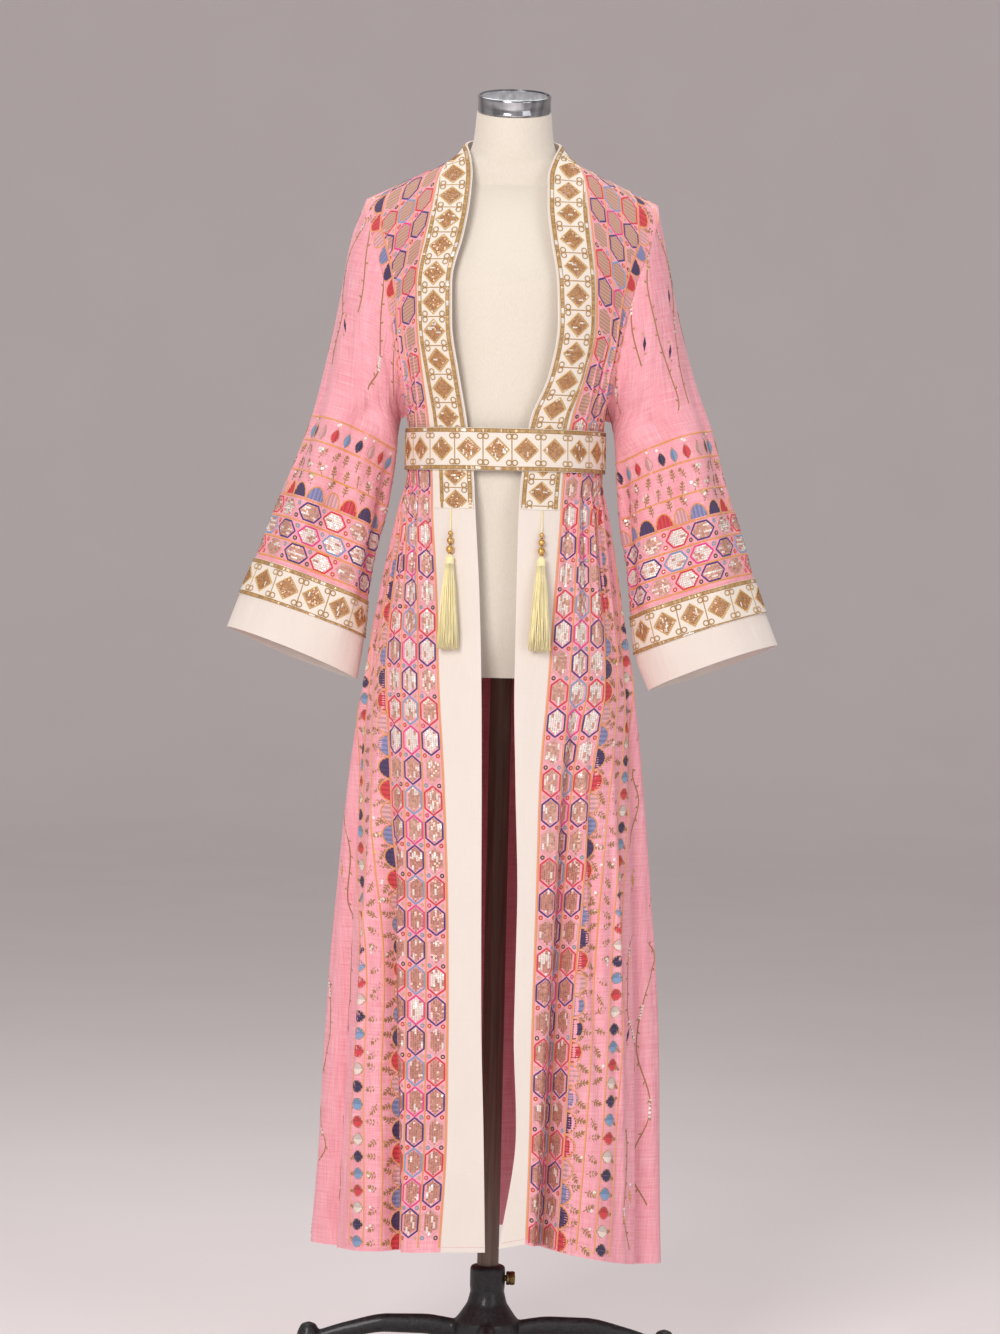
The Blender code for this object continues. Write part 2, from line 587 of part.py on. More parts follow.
def back_shares():
    """Even columns, but one stands at each end of the neck seam."""
    get = dict(zip(COLUMNS, RIGHT_ROWS["ridge"]))
    neck = edge_angle(get, "x_seam") / math.pi
    side = (BACK_STEPS - NECK_STEPS) // 2
    right = np.linspace(0.0, 0.5 - neck, side + 1)
    middle = np.linspace(0.5 - neck, 0.5 + neck, NECK_STEPS + 1)
    left = np.linspace(0.5 + neck, 1.0, side + 1)
    return np.concatenate([right[:-1], middle, left[1:]])


def seam_normals(normals, side_columns, arm_rows):
    """Squares a panel's rims to its shoulder seam and its side seam."""
    normals = normals.copy()
    normals[0] = square_to(normals[0], (0.0, 1.0, 0.0))
    for col in side_columns:
        normals[arm_rows - 1 :, col] = square_to(normals[arm_rows - 1 :, col], (0.0, 1.0, 0.0))
    return normals


def build_body(materials, levels):
    """Front panels, back panel, cream bands and neck band, and the trim on them."""
    arm_rows = ARM_STEPS + 1
    half = SEAM / 2
    made = {}
    for name, sign, table in (("right", -1, RIGHT_ROWS), ("left", 1, LEFT_ROWS)):
        shares = np.array(FRONT_SHARES[name])
        points = front_grid(table, sign, levels, shares)
        points[0, :, 1] = -half
        points[arm_rows - 1 :, -1, 1] = -half
        normals = outward(points, grid_normals(points, False))
        normals = seam_normals(normals, [-1], arm_rows)
        made["front_" + name] = (points, normals)
        band = band_grid(table, sign, levels, np.array(BAND_SHARES))
        band[0, :, 1] = -half
        band_normals = outward(band, grid_normals(band, False))
        band_normals[0] = square_to(band_normals[0], (0.0, 1.0, 0.0))
        band_normals[:, -1] = normals[:, 0]
        across = points[:, 0] - points[:, 1]
        across = across / np.linalg.norm(across, axis=1, keepdims=True)
        band[:, -1] = points[:, 0] + across * SEAM
        made["band_" + name] = (band, band_normals)
    back = back_grid(levels, back_shares())
    back[0, :, 1] = np.maximum(back[0, :, 1], half)
    for col in (0, -1):
        back[arm_rows - 1 :, col, 1] = half
    bare = outward(back, grid_normals(back, False))
    normals = seam_normals(bare, [0, -1], arm_rows)
    side = (BACK_STEPS - NECK_STEPS) // 2
    normals[0, side + 1 : -side - 1] = bare[0, side + 1 : -side - 1]
    made["back"] = (back, normals)
    for name, (points, normals) in made.items():
        cloth = "cream_cloth" if name.startswith("band") else "pink_cloth"
        wall_object(name, points, normals, materials[cloth])
    return made


def start_beyond(edge, edge_normals, target):
    """Points just past a wall's edge, so that the next piece starts a seam's gap from it."""
    seam = np.gradient(edge, axis=0)
    seam = seam / np.linalg.norm(seam, axis=1, keepdims=True)
    start = target - edge
    start = start - np.sum(start * seam, axis=1, keepdims=True) * seam
    start = start / np.linalg.norm(start, axis=1, keepdims=True)
    lean = np.abs(np.sum(start * edge_normals, axis=1, keepdims=True))
    return edge + start * (SEAM + WALL * SEAM_LEAN * lean)


def build_neck_band(materials, made):
    """The band's part round the back of the neck, standing off the neck and leaning in."""
    side = (BACK_STEPS - NECK_STEPS) // 2
    back, back_normals = made["back"]
    edge = back[0, side : BACK_STEPS - side + 1]
    edge_normals = back_normals[0, side : BACK_STEPS - side + 1]
    ridge = dict(zip(COLUMNS, RIGHT_ROWS["ridge"]))
    rise = edge[:, 1] / BACK_ROWS["ridge"][0]
    top = np.stack(
        [
            edge[:, 0] * ridge["x_open"] / ridge["x_seam"],
            SEAM / 2 + rise * NECK_BAND_BACK,
            ridge["z_seam"] + ridge["lift"] + NECK_BAND_RISE * rise,
        ],
        axis=1,
    )
    foot = start_beyond(edge, edge_normals, top)
    foot[:, 1] = np.maximum(foot[:, 1], SEAM / 2)
    shares = np.linspace(0.0, 1.0, 3)[:, None, None]
    points = foot[None] * (1 - shares) + top[None] * shares
    normals = outward(points, grid_normals(points, False))
    for col in (0, -1):
        normals[:, col] = square_to(normals[:, col], (0.0, 1.0, 0.0))
    wall_object("neck_band", points, normals, materials["cream_cloth"])
    first = points[0] * (1 - 2 * NECK_TRIM_EDGE) + points[1] * 2 * NECK_TRIM_EDGE
    last = points[2] * (1 - 2 * BAND_EDGE) + points[1] * 2 * BAND_EDGE
    trim = np.stack([first, points[1], last]) + normals * TRIM_LIFT
    trim[:, (0, -1), 1] = SEAM / 2
    wall_object("trim_neck", trim, normals, materials["gold_trim"])


def build_trims(materials, made, levels):
    """Gold trim laid on each front band, from the shoulder to just below the belt."""
    rows = int(np.searchsorted(levels, TRIM_END)) + 1
    for name in ("right", "left"):
        band, normals = made["band_" + name]
        band, normals = band[:rows, 1:-1], normals[:rows, 1:-1]
        points = band + normals * (TRIM_LIFT * corner_stretch(band, normals))
        points[0, :, 1] = -SEAM / 2
        wall_object("trim_" + name, points, normals, materials["gold_trim"])


def waist_ring(row, made):
    """The waist's points and normals at one row, once round from the left band's free edge."""
    order = (
        ("band_left", slice(None)),
        ("front_left", slice(1, -1)),
        ("back", slice(-2, 0, -1)),
        ("front_right", slice(-2, 0, -1)),
        ("band_right", slice(None, None, -1)),
    )
    points = np.vstack([made[name][0][row, part] for name, part in order])
    normals = np.vstack([made[name][1][row, part] for name, part in order])
    normals[:, 2] = 0.0
    return points, normals / np.linalg.norm(normals, axis=1, keepdims=True)


def build_belt(materials, made):
    """A closed belt that lies on the cloth, and over the trim at the front."""
    grid = []
    for row, height in ((ARM_STEPS + 1, BELT_TOP), (ARM_STEPS + 2, BELT_BOTTOM)):
        points, normals = waist_ring(row, made)
        lift = TRIM_LIFT * np.clip(1 - band_distance(points, row, made) / BELT_RELIEF, 0, 1)
        away = (WALL + BELT_WALL) / 2 + SEAM + BELT_EASE + lift
        ring = points + normals * away[:, None]
        ring[:, 2] = height
        grid.append(ring)
    points = np.array(grid)
    normals = outward(points, grid_normals(points, True))
    wall_object("belt", points, normals, materials["gold_trim"], BELT_WALL, closed=True)


def band_distance(points, row, made):
    """How far each point of the waist lies from the front bands; 0 on a band."""
    left = made["band_left"][0][row, -1]
    right = made["band_right"][0][row, -1]
    on_band = (points[:, 1] < 0) & (points[:, 0] <= left[0]) & (points[:, 0] >= right[0])
    away = [np.hypot(points[:, 0] - seam[0], points[:, 1] - seam[1]) for seam in (left, right)]
    return np.where(on_band, 0.0, np.minimum(*away))


# The sleeves


def sleeve_grid(table, sign, made, where, arm_share):
    """A sleeve as rings: the armhole's own points, then one ellipse for each section."""
    turn = np.arccos(np.clip(1 - 2 * arm_share, -1, 1))
    angles = np.concatenate([turn, 2 * math.pi - turn[1:-1][::-1]])
    name = "front_right" if sign < 0 else "front_left"
    front = made[name][0][: ARM_STEPS + 1, -1]
    back_col = 0 if sign < 0 else -1
    back = made["back"][0][: ARM_STEPS + 1, back_col]
    top = (front[0] + back[0]) / 2
    low = (front[-1] + back[-1]) / 2
    armhole = np.vstack([[top], front[1:-1], [low], back[1:-1][::-1]])
    sections = []
    for x_out, z_out, x_in, z_in, half_depth, forward in table.values():
        flatness = 1 + CUFF_FLATNESS * len(sections) / CUFF_EDGE
        middle = np.array([(x_out + x_in) / 2 * sign, -forward, (z_out + z_in) / 2])
        arm = np.array([(x_out - x_in) / 2 * sign, 0.0, (z_out - z_in) / 2])
        deep = np.array([0.0, -half_depth, 0.0])
        bulge = np.sign(np.sin(angles)) * np.abs(np.sin(angles)) ** flatness
        ring = middle + np.cos(angles)[:, None] * arm + bulge[:, None] * deep
        tilt = CUFF_TILT * len(sections) / CUFF_EDGE
        ring[:, 2] -= tilt * (ring[:, 1] + forward)
        sections.append(ring)
    sections[0] = armhole
    rows = list(table.values())
    upper = (1 + np.cos(angles))[:, None] / 2
    for index, share in ARMHOLE_SHAPE.items():
        moved = np.array(rows[index]) - np.array(rows[0])
        outer = np.array([moved[0] * sign, 0.0, moved[1]])
        inner = np.array([moved[2] * sign, 0.0, moved[3]])
        carried = armhole + outer * upper + inner * (1 - upper)
        sections[index] = carried * share + sections[index] * (1 - share)
    return smooth(sections, where), angles


def armhole_normals(made, sign):
    """The panels' own normals round an armhole, in the order of a sleeve's points."""
    name = "front_right" if sign < 0 else "front_left"
    front = made[name][1][: ARM_STEPS + 1, -1]
    back = made["back"][1][: ARM_STEPS + 1, 0 if sign < 0 else -1]
    return np.vstack([[front[0]], front[1:-1], [front[-1]], back[1:-1][::-1]])


def crease_sleeve(points, normals, angles, where):
    """Moves a sleeve's points along its normals, by the folds in its table."""
    amount = np.zeros(points.shape[:2])
    degrees = np.degrees(angles)
    for level, place, half_width, depth in SLEEVE_FOLDS.values():
        along = np.clip(np.abs(np.asarray(where) - level) / SLEEVE_FOLD_LENGTH, 0, 1)
        across = np.clip(np.abs(degrees - place) / half_width, 0, 1)
        bump = (0.5 + 0.5 * np.cos(math.pi * along))[:, None] * (
            0.5 + 0.5 * np.cos(math.pi * across)
        )
        amount += depth * bump
    return points + normals * amount[:, :, None]


def build_sleeves(materials, made):
    heights = made["front_right"][0][: ARM_STEPS + 1, -1, 2]
    arm_share = (heights[0] - heights) / (heights[0] - heights[-1])
    where = np.array([*SLEEVE_ROWS, TRIM_TOP, TRIM_FOOT, CUFF_EDGE], dtype=float)
    cut = len(SLEEVE_ROWS)
    for name, sign, table in (("right", -1, RIGHT_SLEEVE), ("left", 1, LEFT_SLEEVE)):
        points, angles = sleeve_grid(table, sign, made, where, arm_share)
        middle = points.mean(axis=1)
        normals = outward(points, grid_normals(points, True), middle)
        points = crease_sleeve(points, normals, angles, where)
        loop = np.vstack([points[0][-1:], points[0], points[0][:1]])
        around = np.vstack([points[1][-1:], points[1], points[1][:1]])
        edge = armhole_normals(made, sign)
        edge = np.vstack([edge[-1:], edge, edge[:1]])
        points[0] = start_beyond(loop, edge, around)[1:-1]
        normals = outward(points, grid_normals(points, True), middle)
        sleeve = (points[: cut + 1], normals[: cut + 1])
        cuff = (points[cut:].copy(), normals[cut:])
        along = points[cut + 1] - points[cut]
        along = along / np.linalg.norm(along, axis=1, keepdims=True)
        cuff[0][0] = cuff[0][0] + along * SEAM
        wall_object("sleeve_" + name, *sleeve, materials["pink_cloth"], closed=True)
        wall_object("cuff_" + name, *cuff, materials["cream_cloth"], closed=True)
        trim = cuff[0][:2] + cuff[1][:2] * TRIM_LIFT
        wall_object("cuff_trim_" + name, trim, cuff[1][:2], materials["gold_trim"], closed=True)


# The tassels


def tassel_place(side, made):
    """Where a tassel hangs from the end of its trim, leaning with the cloth behind it."""
    band, normals = made["band_" + side]
    row = int(np.argmin(np.abs(band[:, 0, 2] - TRIM_END_Z)))
    order = np.argsort(band[row, :, 0])
    x = TASSEL_X[side]
    point = [np.interp(x, band[row, order, 0], band[row, order, k]) for k in range(2)]
    away = [np.interp(x, band[row, order, 0], normals[row, order, k]) for k in range(2)]
    start = np.array(point) + np.array(away) * TASSEL_STANDS_OFF
    turn = Matrix.Rotation(TASSEL_LEAN, 4, "X")
    return Matrix.Translation((start[0], start[1], TRIM_END_Z - SEAM)) @ turn


def build_tassel(side, materials, made):
    """A cord, three beads with spacers between them on one core, and the tassel below them."""
    place = tassel_place(side, made)
    profile = [
        (0.0, 0.0),
        (TASSEL_CORD_R, 0.0),
        (TASSEL_CORD_R, -TASSEL_CORD),
        (0.0, -TASSEL_CORD),
    ]
    turned_object("tassel_cord_" + side, profile, materials["silk"], LEG_STEPS, place)
    height = -TASSEL_CORD - SEAM
    profile = [(0.0, height)]
    for radius in BEAD_RADII:
        for turn in np.radians((24, 68, 112, 156)):
            profile.append((radius * math.sin(turn), height - radius * (1 - math.cos(turn))))
        height -= 2 * radius
        profile.append((SPACER_R, height - SEAM))
        height -= SPACER_LENGTH
        profile.append((SPACER_R, height + SEAM))
    profile.append((0.0, height))
    turned_object("tassel_beads_" + side, profile, materials["bead"], LEG_STEPS, place)
    build_tassel_head(side, height - SEAM, materials, place)


def add_ring(shape, radius, height):
    turns = [2 * math.pi * j / SMALL_STEPS for j in range(SMALL_STEPS)]
    return [shape.verts.new((radius * math.cos(t), radius * math.sin(t), height)) for t in turns]


def join_rings(shape, low, high):
    count = len(low)
    corners = [(low[j], high[j], high[(j + 1) % count], low[(j + 1) % count]) for j in range(count)]
    return [shape.faces.new(four) for four in corners]


def build_tassel_head(side, top, materials, place):
    """The bound head, and the strands that grow out of its underside and spread downwards."""
    shape = bmesh.new()
    rings = [add_ring(shape, radius, top - drop) for radius, drop in HEAD_RINGS]
    shape.faces.new(rings[0])
    for low, high in zip(rings, rings[1:]):
        join_rings(shape, low, high)
    root_z = top - HEAD_RINGS[-1][1]
    under = [rings[-1]] + [add_ring(shape, radius, root_z) for radius in STRAND_RINGS]
    cells = []
    for low, high in zip(under, under[1:]):
        cells += join_rings(shape, low, high)
    shape.faces.new(list(reversed(under[-1])))
    bmesh.ops.recalc_face_normals(shape, faces=shape.faces)
    bmesh.ops.inset_individual(shape, faces=cells, thickness=STRAND_GAP, depth=0.0)
    grow_strands(shape, cells, root_z)
    bmesh.ops.triangulate(shape, faces=shape.faces)
    bmesh.ops.recalc_face_normals(shape, faces=shape.faces)
    mesh = bpy.data.meshes.new("tassel_" + side)
    shape.to_mesh(mesh)
    shape.free()
    mesh.transform(place)
    mesh.materials.append(materials["silk"])
    obj = bpy.data.objects.new("tassel_" + side, mesh)
    bpy.context.collection.objects.link(obj)


def grow_strands(shape, cells, root_z):
    """Draws each cell out into one strand that spreads away from the axis and hangs."""
    for index, cell in enumerate(cells):
        middle = cell.calc_center_median()
        uneven = 1 - STRAND_UNEVEN * (0.5 - 0.5 * math.sin(2.4 * index))
        face = cell
        for share, spread in STRAND_BENDS:
            made = bmesh.ops.extrude_discrete_faces(shape, faces=[face])
            face = made["faces"][0]
            drop = STRAND_LENGTH * uneven * share
            back = middle.y * spread * STRAND_FLATNESS + STRAND_DRIFT * share**2
            goal = Vector((middle.x * spread, back, root_z - drop))
            now = face.calc_center_median()
            for vert in face.verts:
                vert.co = goal + (vert.co - now) * STRAND_GROWTH


# The dress form and its stand


def build_form(materials):
    """The covered torso and neck, closed below by a flat plate and above by the neck's top."""
    rows = smooth(list(FORM_ROWS.values()), FORM_LEVELS)
    rings = []
    for z, half_width, front, back in rows:
        power = 2 / (FORM_ROUNDNESS if z < SHOULDER_Z else 2.0)
        share = (z - NECK_TILT_START) / (NECK_TOP - NECK_TILT_START)
        tilt = math.tan(CAP_TILT) * min(1.0, max(0.0, share))
        ring = []
        for j in range(FORM_STEPS):
            turn = 2 * math.pi * j / FORM_STEPS
            wide = math.copysign(abs(math.sin(turn)) ** power, math.sin(turn))
            deep = math.copysign(abs(math.cos(turn)) ** power, math.cos(turn))
            y = -deep * (front if deep > 0 else back)
            ring.append((half_width * wide, y, z + tilt * y))
        rings.append(ring)
    tube_object("form_torso", rings, materials["jersey"])


def tube_object(name, rings, material):
    """A solid from rings of points, one after another, with a flat face at each end."""
    count = len(rings)
    steps = len(rings[0])
    faces = []
    for i in range(count - 1):
        for j in range(steps):
            k = (j + 1) % steps
            faces.append((i * steps + j, i * steps + k, (i + 1) * steps + k, (i + 1) * steps + j))
    faces.append(tuple(range(steps)))
    faces.append(tuple(range((count - 1) * steps, count * steps)))
    return mesh_object(name, [v for ring in rings for v in ring], faces, material)


def build_cap(materials):
    """Bright metal neck cap, tipped forward, with a darker disc let into its top."""
    place = Matrix.Translation((0.0, 0.0, NECK_TOP)) @ Matrix.Rotation(CAP_TILT, 4, "X")
    profile = [
        (0.0, SEAM),
        (CAP_R - 0.0008, SEAM),
        (CAP_R, 0.0012),
        (CAP_R, CAP_HEIGHT - 0.0015),
        (CAP_R - 0.0015, CAP_HEIGHT),
        (CAP_R - CAP_LIP, CAP_HEIGHT),
        (CAP_R - CAP_LIP, CAP_HEIGHT - CAP_RECESS),
        (0.0, CAP_HEIGHT - CAP_RECESS),
    ]
    turned_object("neck_cap", profile, materials["chrome"], FORM_STEPS, place)
    disc_r = CAP_R - CAP_LIP - SEAM
    low = CAP_HEIGHT - CAP_RECESS + SEAM
    profile = [(0.0, low), (disc_r, low), (disc_r, low + 0.0018), (0.0, low + 0.0030)]
    turned_object("neck_cap_disc", profile, materials["cast_iron"], FORM_STEPS, place)


def build_post(materials):
    top = FORM_ROWS["base"][0] - SEAM
    profile = [(0.0, POST_BOTTOM), (POST_R, POST_BOTTOM), (POST_R, top), (0.0, top)]
    turned_object("post", profile, materials["post_paint"])


def build_stand(materials):
    """Cast collar and hub with a bore for the post, four legs with feet, and the clamp screw."""
    profile = [
        (BORE_R, HUB_BOTTOM),
        (HUB_R - 0.006, HUB_BOTTOM),
        (HUB_R, HUB_BOTTOM + 0.006),
        (HUB_R, HUB_BOTTOM + 0.052),
        (HUB_R - 0.007, HUB_BOTTOM + 0.061),
        (COLLAR_R + 0.003, HUB_BOTTOM + 0.076),
        (COLLAR_R - 0.001, COLLAR_TOP - 0.034),
        (COLLAR_R, COLLAR_TOP - 0.028),
        (COLLAR_R, COLLAR_TOP - 0.003),
        (COLLAR_R - 0.003, COLLAR_TOP),
        (BORE_R, COLLAR_TOP),
    ]
    hub = turned_object("stand_hub", profile, materials["cast_iron"])
    sideways = Matrix.Rotation(math.pi / 2, 4, "Y")
    place = Matrix.Translation((BORE_R / 2, 0.0, SCREW_Z)) @ sideways
    profile = [(0.0, 0.0), (SCREW_HOLE_R, 0.0), (SCREW_HOLE_R, COLLAR_R), (0.0, COLLAR_R)]
    hole = turned_object("screw_hole", profile, materials["cast_iron"], SMALL_STEPS, place)
    boolean(hub, hole, "DIFFERENCE")
    for index, name in enumerate(("left", "back", "right", "front")):
        build_leg(name, math.pi / 2 * index, materials)
    build_screw(Matrix.Translation((POST_R + SCREW_GAP, 0.0, SCREW_Z)) @ sideways, materials)


def build_screw(place, materials):
    """The clamp screw's shank, from its tip outwards, and its round knob."""
    neck = COLLAR_R + 0.0012 - POST_R - SCREW_GAP
    profile = [
        (0.0, 0.0),
        (SCREW_R, 0.0),
        (SCREW_R, neck),
        (KNOB_R - 0.0012, neck),
        (KNOB_R, neck + 0.0015),
        (KNOB_R, neck + KNOB_LENGTH - 0.0025),
        (KNOB_R - 0.0015, neck + KNOB_LENGTH - 0.0005),
        (0.0, neck + KNOB_LENGTH),
    ]
    turned_object("clamp_screw", profile, materials["screw_brass"], SMALL_STEPS, place)


def build_leg(name, turn, materials):
    """One leg: a bar that dips from the hub to its end, and a knob whose foot is on the floor."""
    route = [
        # distance from the axis, height of the bar's middle
        (HUB_R + 2 * SEAM, 0.080),
        (0.085, 0.087),
        (0.130, 0.087),
        (0.180, 0.077),
        (LEG_REACH, 0.061),
    ]
    rings = []
    for distance, height in smooth(route, np.linspace(0, len(route) - 1, 8)):
        taper = 1.0 - LEG_TAPER * (distance - HUB_R) / (LEG_REACH - HUB_R)
        ring = []
        for k in range(LEG_STEPS):
            angle = 2 * math.pi * (k + 0.5) / LEG_STEPS
            side = LEG_WIDTH / 2 * taper * math.cos(angle)
            rise = LEG_DEPTH / 2 * taper * math.sin(angle)
            ring.append((distance, side, height + rise))
        rings.append(ring)
    leg = tube_object("leg_" + name, rings, materials["cast_iron"])
    profile = [
        (0.0, 0.0),
        (FOOT_R - 0.001, 0.0),
        (FOOT_R, 0.003),
        (FOOT_R, 0.012),
        (0.0090, 0.019),
        (0.0080, 0.034),
        (0.0125, 0.044),
        (0.0155, 0.058),
        (0.0150, 0.072),
        (0.0100, 0.083),
        (0.0, 0.087),
    ]
    place = Matrix.Translation((LEG_REACH, 0.0, 0.0))
    knob = turned_object("knob", profile, materials["cast_iron"], SMALL_STEPS, place)
    boolean(leg, knob, "UNION")
    leg.data.transform(Matrix.Rotation(turn, 4, "Z"))


def main():
    clear_scene()
    materials = {name: make_material(name) for name in COLOURS}
    levels = body_levels()
    made = build_body(materials, levels)
    build_neck_band(materials, made)
    build_trims(materials, made, levels)
    build_belt(materials, made)
    build_sleeves(materials, made)
    for side in TASSEL_X:
        build_tassel(side, materials, made)
    build_form(materials)
    build_cap(materials)
    build_post(materials)
    build_stand(materials)


main()
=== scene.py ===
# %% [markdown]
# # An open-front abaya on its dress form
#
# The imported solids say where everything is. This lesson dresses them: cloth with a weave and
# folds, thread and sequins sewn on the cloth, silk tassels, a jersey-covered form and an iron
# foot. Each cell makes one thing and prints what it made.

# %% Load the solids and keep their box
import math

import bpy
import numpy as np
from mathutils import Matrix, Vector


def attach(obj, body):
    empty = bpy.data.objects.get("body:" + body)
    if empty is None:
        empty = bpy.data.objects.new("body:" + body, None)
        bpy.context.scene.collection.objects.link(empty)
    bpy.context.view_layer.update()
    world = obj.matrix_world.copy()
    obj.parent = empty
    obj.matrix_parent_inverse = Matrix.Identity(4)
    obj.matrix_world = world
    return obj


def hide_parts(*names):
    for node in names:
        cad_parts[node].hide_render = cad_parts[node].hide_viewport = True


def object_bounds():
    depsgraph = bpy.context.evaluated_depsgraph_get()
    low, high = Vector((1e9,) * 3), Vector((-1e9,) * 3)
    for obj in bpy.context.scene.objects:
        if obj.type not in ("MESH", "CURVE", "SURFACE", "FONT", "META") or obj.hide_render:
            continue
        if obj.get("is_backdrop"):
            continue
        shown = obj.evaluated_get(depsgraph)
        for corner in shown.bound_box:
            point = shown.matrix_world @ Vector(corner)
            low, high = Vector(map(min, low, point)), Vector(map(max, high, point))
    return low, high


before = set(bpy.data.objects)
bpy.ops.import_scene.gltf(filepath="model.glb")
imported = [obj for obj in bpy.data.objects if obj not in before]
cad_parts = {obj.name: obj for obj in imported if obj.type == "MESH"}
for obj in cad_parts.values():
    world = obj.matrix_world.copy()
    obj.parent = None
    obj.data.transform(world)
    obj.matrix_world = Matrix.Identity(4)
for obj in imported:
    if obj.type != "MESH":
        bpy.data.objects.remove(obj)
cad_box = [list(corner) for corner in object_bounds()]
print("solids:", len(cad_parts), "box:", [[round(v, 3) for v in low] for low in cad_box])

# %% [markdown]
# ## Shader maths as plain sums
#
# A finish is a small graph of nodes. Writing `warp + weft` is easier to read than wiring nodes,
# so one class wraps a socket and turns sums into Math nodes, and one method makes any other
# node: its settings go in first, then the values or links of its sockets.


# %% A socket that can be added and multiplied
class Reading:
    """A number that varies over a surface. Sums on it add Math nodes."""

    def __init__(self, finish, socket):
        self.finish, self.socket = finish, socket

    def sum(self, operation, first, second):
        return self.finish.node("Math", {"operation": operation}, {0: first, 1: second})

    def __add__(self, other):
        return self.sum("ADD", self, other)

    def __sub__(self, other):
        return self.sum("SUBTRACT", self, other)

    def __mul__(self, other):
        return self.sum("MULTIPLY", self, other)

    __radd__, __rmul__ = __add__, __mul__


class Finish:
    """A material with a Principled shader, built node by node."""

    def __init__(self, name, **sockets):
        self.material = bpy.data.materials.new(name)
        self.material.use_nodes = True
        self.tree = self.material.node_tree
        self.shader = self.tree.nodes["Principled BSDF"]
        for label, value in sockets.items():
            self.feed(self.shader, label.replace("_", " "), value)

    def feed(self, node, key, value):
        """Links a reading to a socket, or sets the socket's own number or colour."""
        socket = node.inputs[key]
        if isinstance(value, Reading):
            self.tree.links.new(value.socket, socket)
        else:
            socket.default_value = (*value, 1.0) if socket.type == "RGBA" else value

    def node(self, kind, settings, inputs, output=0):
        made = self.tree.nodes.new("ShaderNode" + kind)
        for key, value in settings.items():
            setattr(made, key, value)
        for key, value in inputs.items():
            self.feed(made, key, value)
        return Reading(self, made.outputs[output])

    def noise(self, vector, stretch, detail=2.0):
        """A cloudy pattern; the stretch is how many spots stand in a metre along each axis."""
        placed = self.node("Mapping", {}, {"Vector": vector, "Scale": stretch})
        return self.node("TexNoise", {}, {"Vector": placed, "Scale": 1.0, "Detail": detail})

    def mix(self, share, first, second):
        """A blend of two colours, more of the second where the share is high."""
        settings = {"data_type": "RGBA", "clamp_factor": True}
        return self.node("Mix", settings, {0: share, 6: first, 7: second}, 2)

    def colour(self, reading):
        self.feed(self.shader, "Base Color", reading)

    def relief(self, height, depth, strength=0.6):
        inputs = {"Height": height, "Distance": depth, "Strength": strength}
        self.feed(self.shader, "Normal", self.node("Bump", {}, inputs))

    def body(self):
        """Object coordinates, which stay with the piece."""
        return self.node("TexCoord", {}, {}, 3)


def seen(red, green, blue):
    """A colour as a screen shows it, turned into the light it stands for."""
    shares = [value / 255 for value in (red, green, blue)]
    return tuple(s / 12.92 if s <= 0.04045 else ((s + 0.055) / 1.055) ** 2.4 for s in shares)


# %% [markdown]
# ## Cloth finishes
#
# The coloured cloth is a slubby plain weave: some threads are thicker than others, so it shows
# short streaks along both threads. The bands are a smooth crepe. Both finishes read the flat
# coordinates of the cut, in metres, so the weave bends with the folds.


# %% Woven finishes
def woven(name, middle, dark, light, streak, depth, crumple=0.0):
    """A plain weave: streaks along both threads, a soft mottle and a fine tooth."""
    made = Finish(name, Roughness=0.85, Sheen_Weight=0.25, Sheen_Roughness=0.4)
    cut = made.node("UVMap", {"uv_map": "cut"}, {})
    warp = made.noise(cut, (900.0, 26.0, 1.0), 4.0)
    weft = made.noise(cut, (22.0, 700.0, 1.0), 4.0)
    mottle = made.noise(cut, (30.0, 14.0, 1.0))
    threads = (warp + weft) * 0.5
    share = (threads - 0.5) * streak + mottle * 0.6 + 0.2
    made.colour(made.mix(0.5, made.mix(share, seen(*dark), seen(*light)), seen(*middle)))
    creases = made.noise(cut, (34.0, 11.0, 1.0), 4.0)
    made.relief(threads * depth + creases * crumple, 1.0, 0.8)
    return made.material


PINK = woven(
    "slubby_pink", (246, 167, 178), (226, 128, 144), (255, 200, 208), 4.4, 0.0006, 0.008
)
CREAM = woven(
    "cream_crepe", (233, 222, 213), (225, 211, 201), (239, 230, 222), 1.0, 0.0002, 0.003
)
TRIM_GROUND = woven(
    "trim_ground", (240, 230, 219), (226, 212, 197), (246, 238, 230), 1.5, 0.0004
)
print("cloth finishes:", PINK.name, CREAM.name, TRIM_GROUND.name)

# %% [markdown]
# ## Thread, sequins and hard finishes
#
# One finish serves threads of every colour, because each stitch carries its own colour as an
# attribute. Sequins are thin bright discs that mirror the lights, and some are painted white
# as glints.
# Silk, jersey, iron, paint, metal and pearl each follow one stretched grain.


# %% Finishes that read a stitch's own colour
def stitched(name, grain, depth, **sockets):
    made = Finish(name, **sockets)
    own = made.node("Attribute", {"attribute_name": "thread"}, {})
    fibre = made.noise(made.body(), (grain, grain, grain), 1.0)
    made.colour(made.mix(fibre * 0.3, own, (0.03, 0.02, 0.015)))
    made.relief(fibre, depth)
    return made.material


THREAD = stitched("silk_thread", 1900.0, 0.0003, Roughness=0.6, Sheen_Weight=0.2)
GOLD_THREAD = stitched("gold_thread", 1700.0, 0.0004, Roughness=0.5, Metallic=0.15)
SEQUIN = stitched("sequin", 260.0, 0.0001, Roughness=0.28, Metallic=0.06, Coat_Weight=0.5)
print("thread finishes:", THREAD.name, GOLD_THREAD.name, SEQUIN.name)


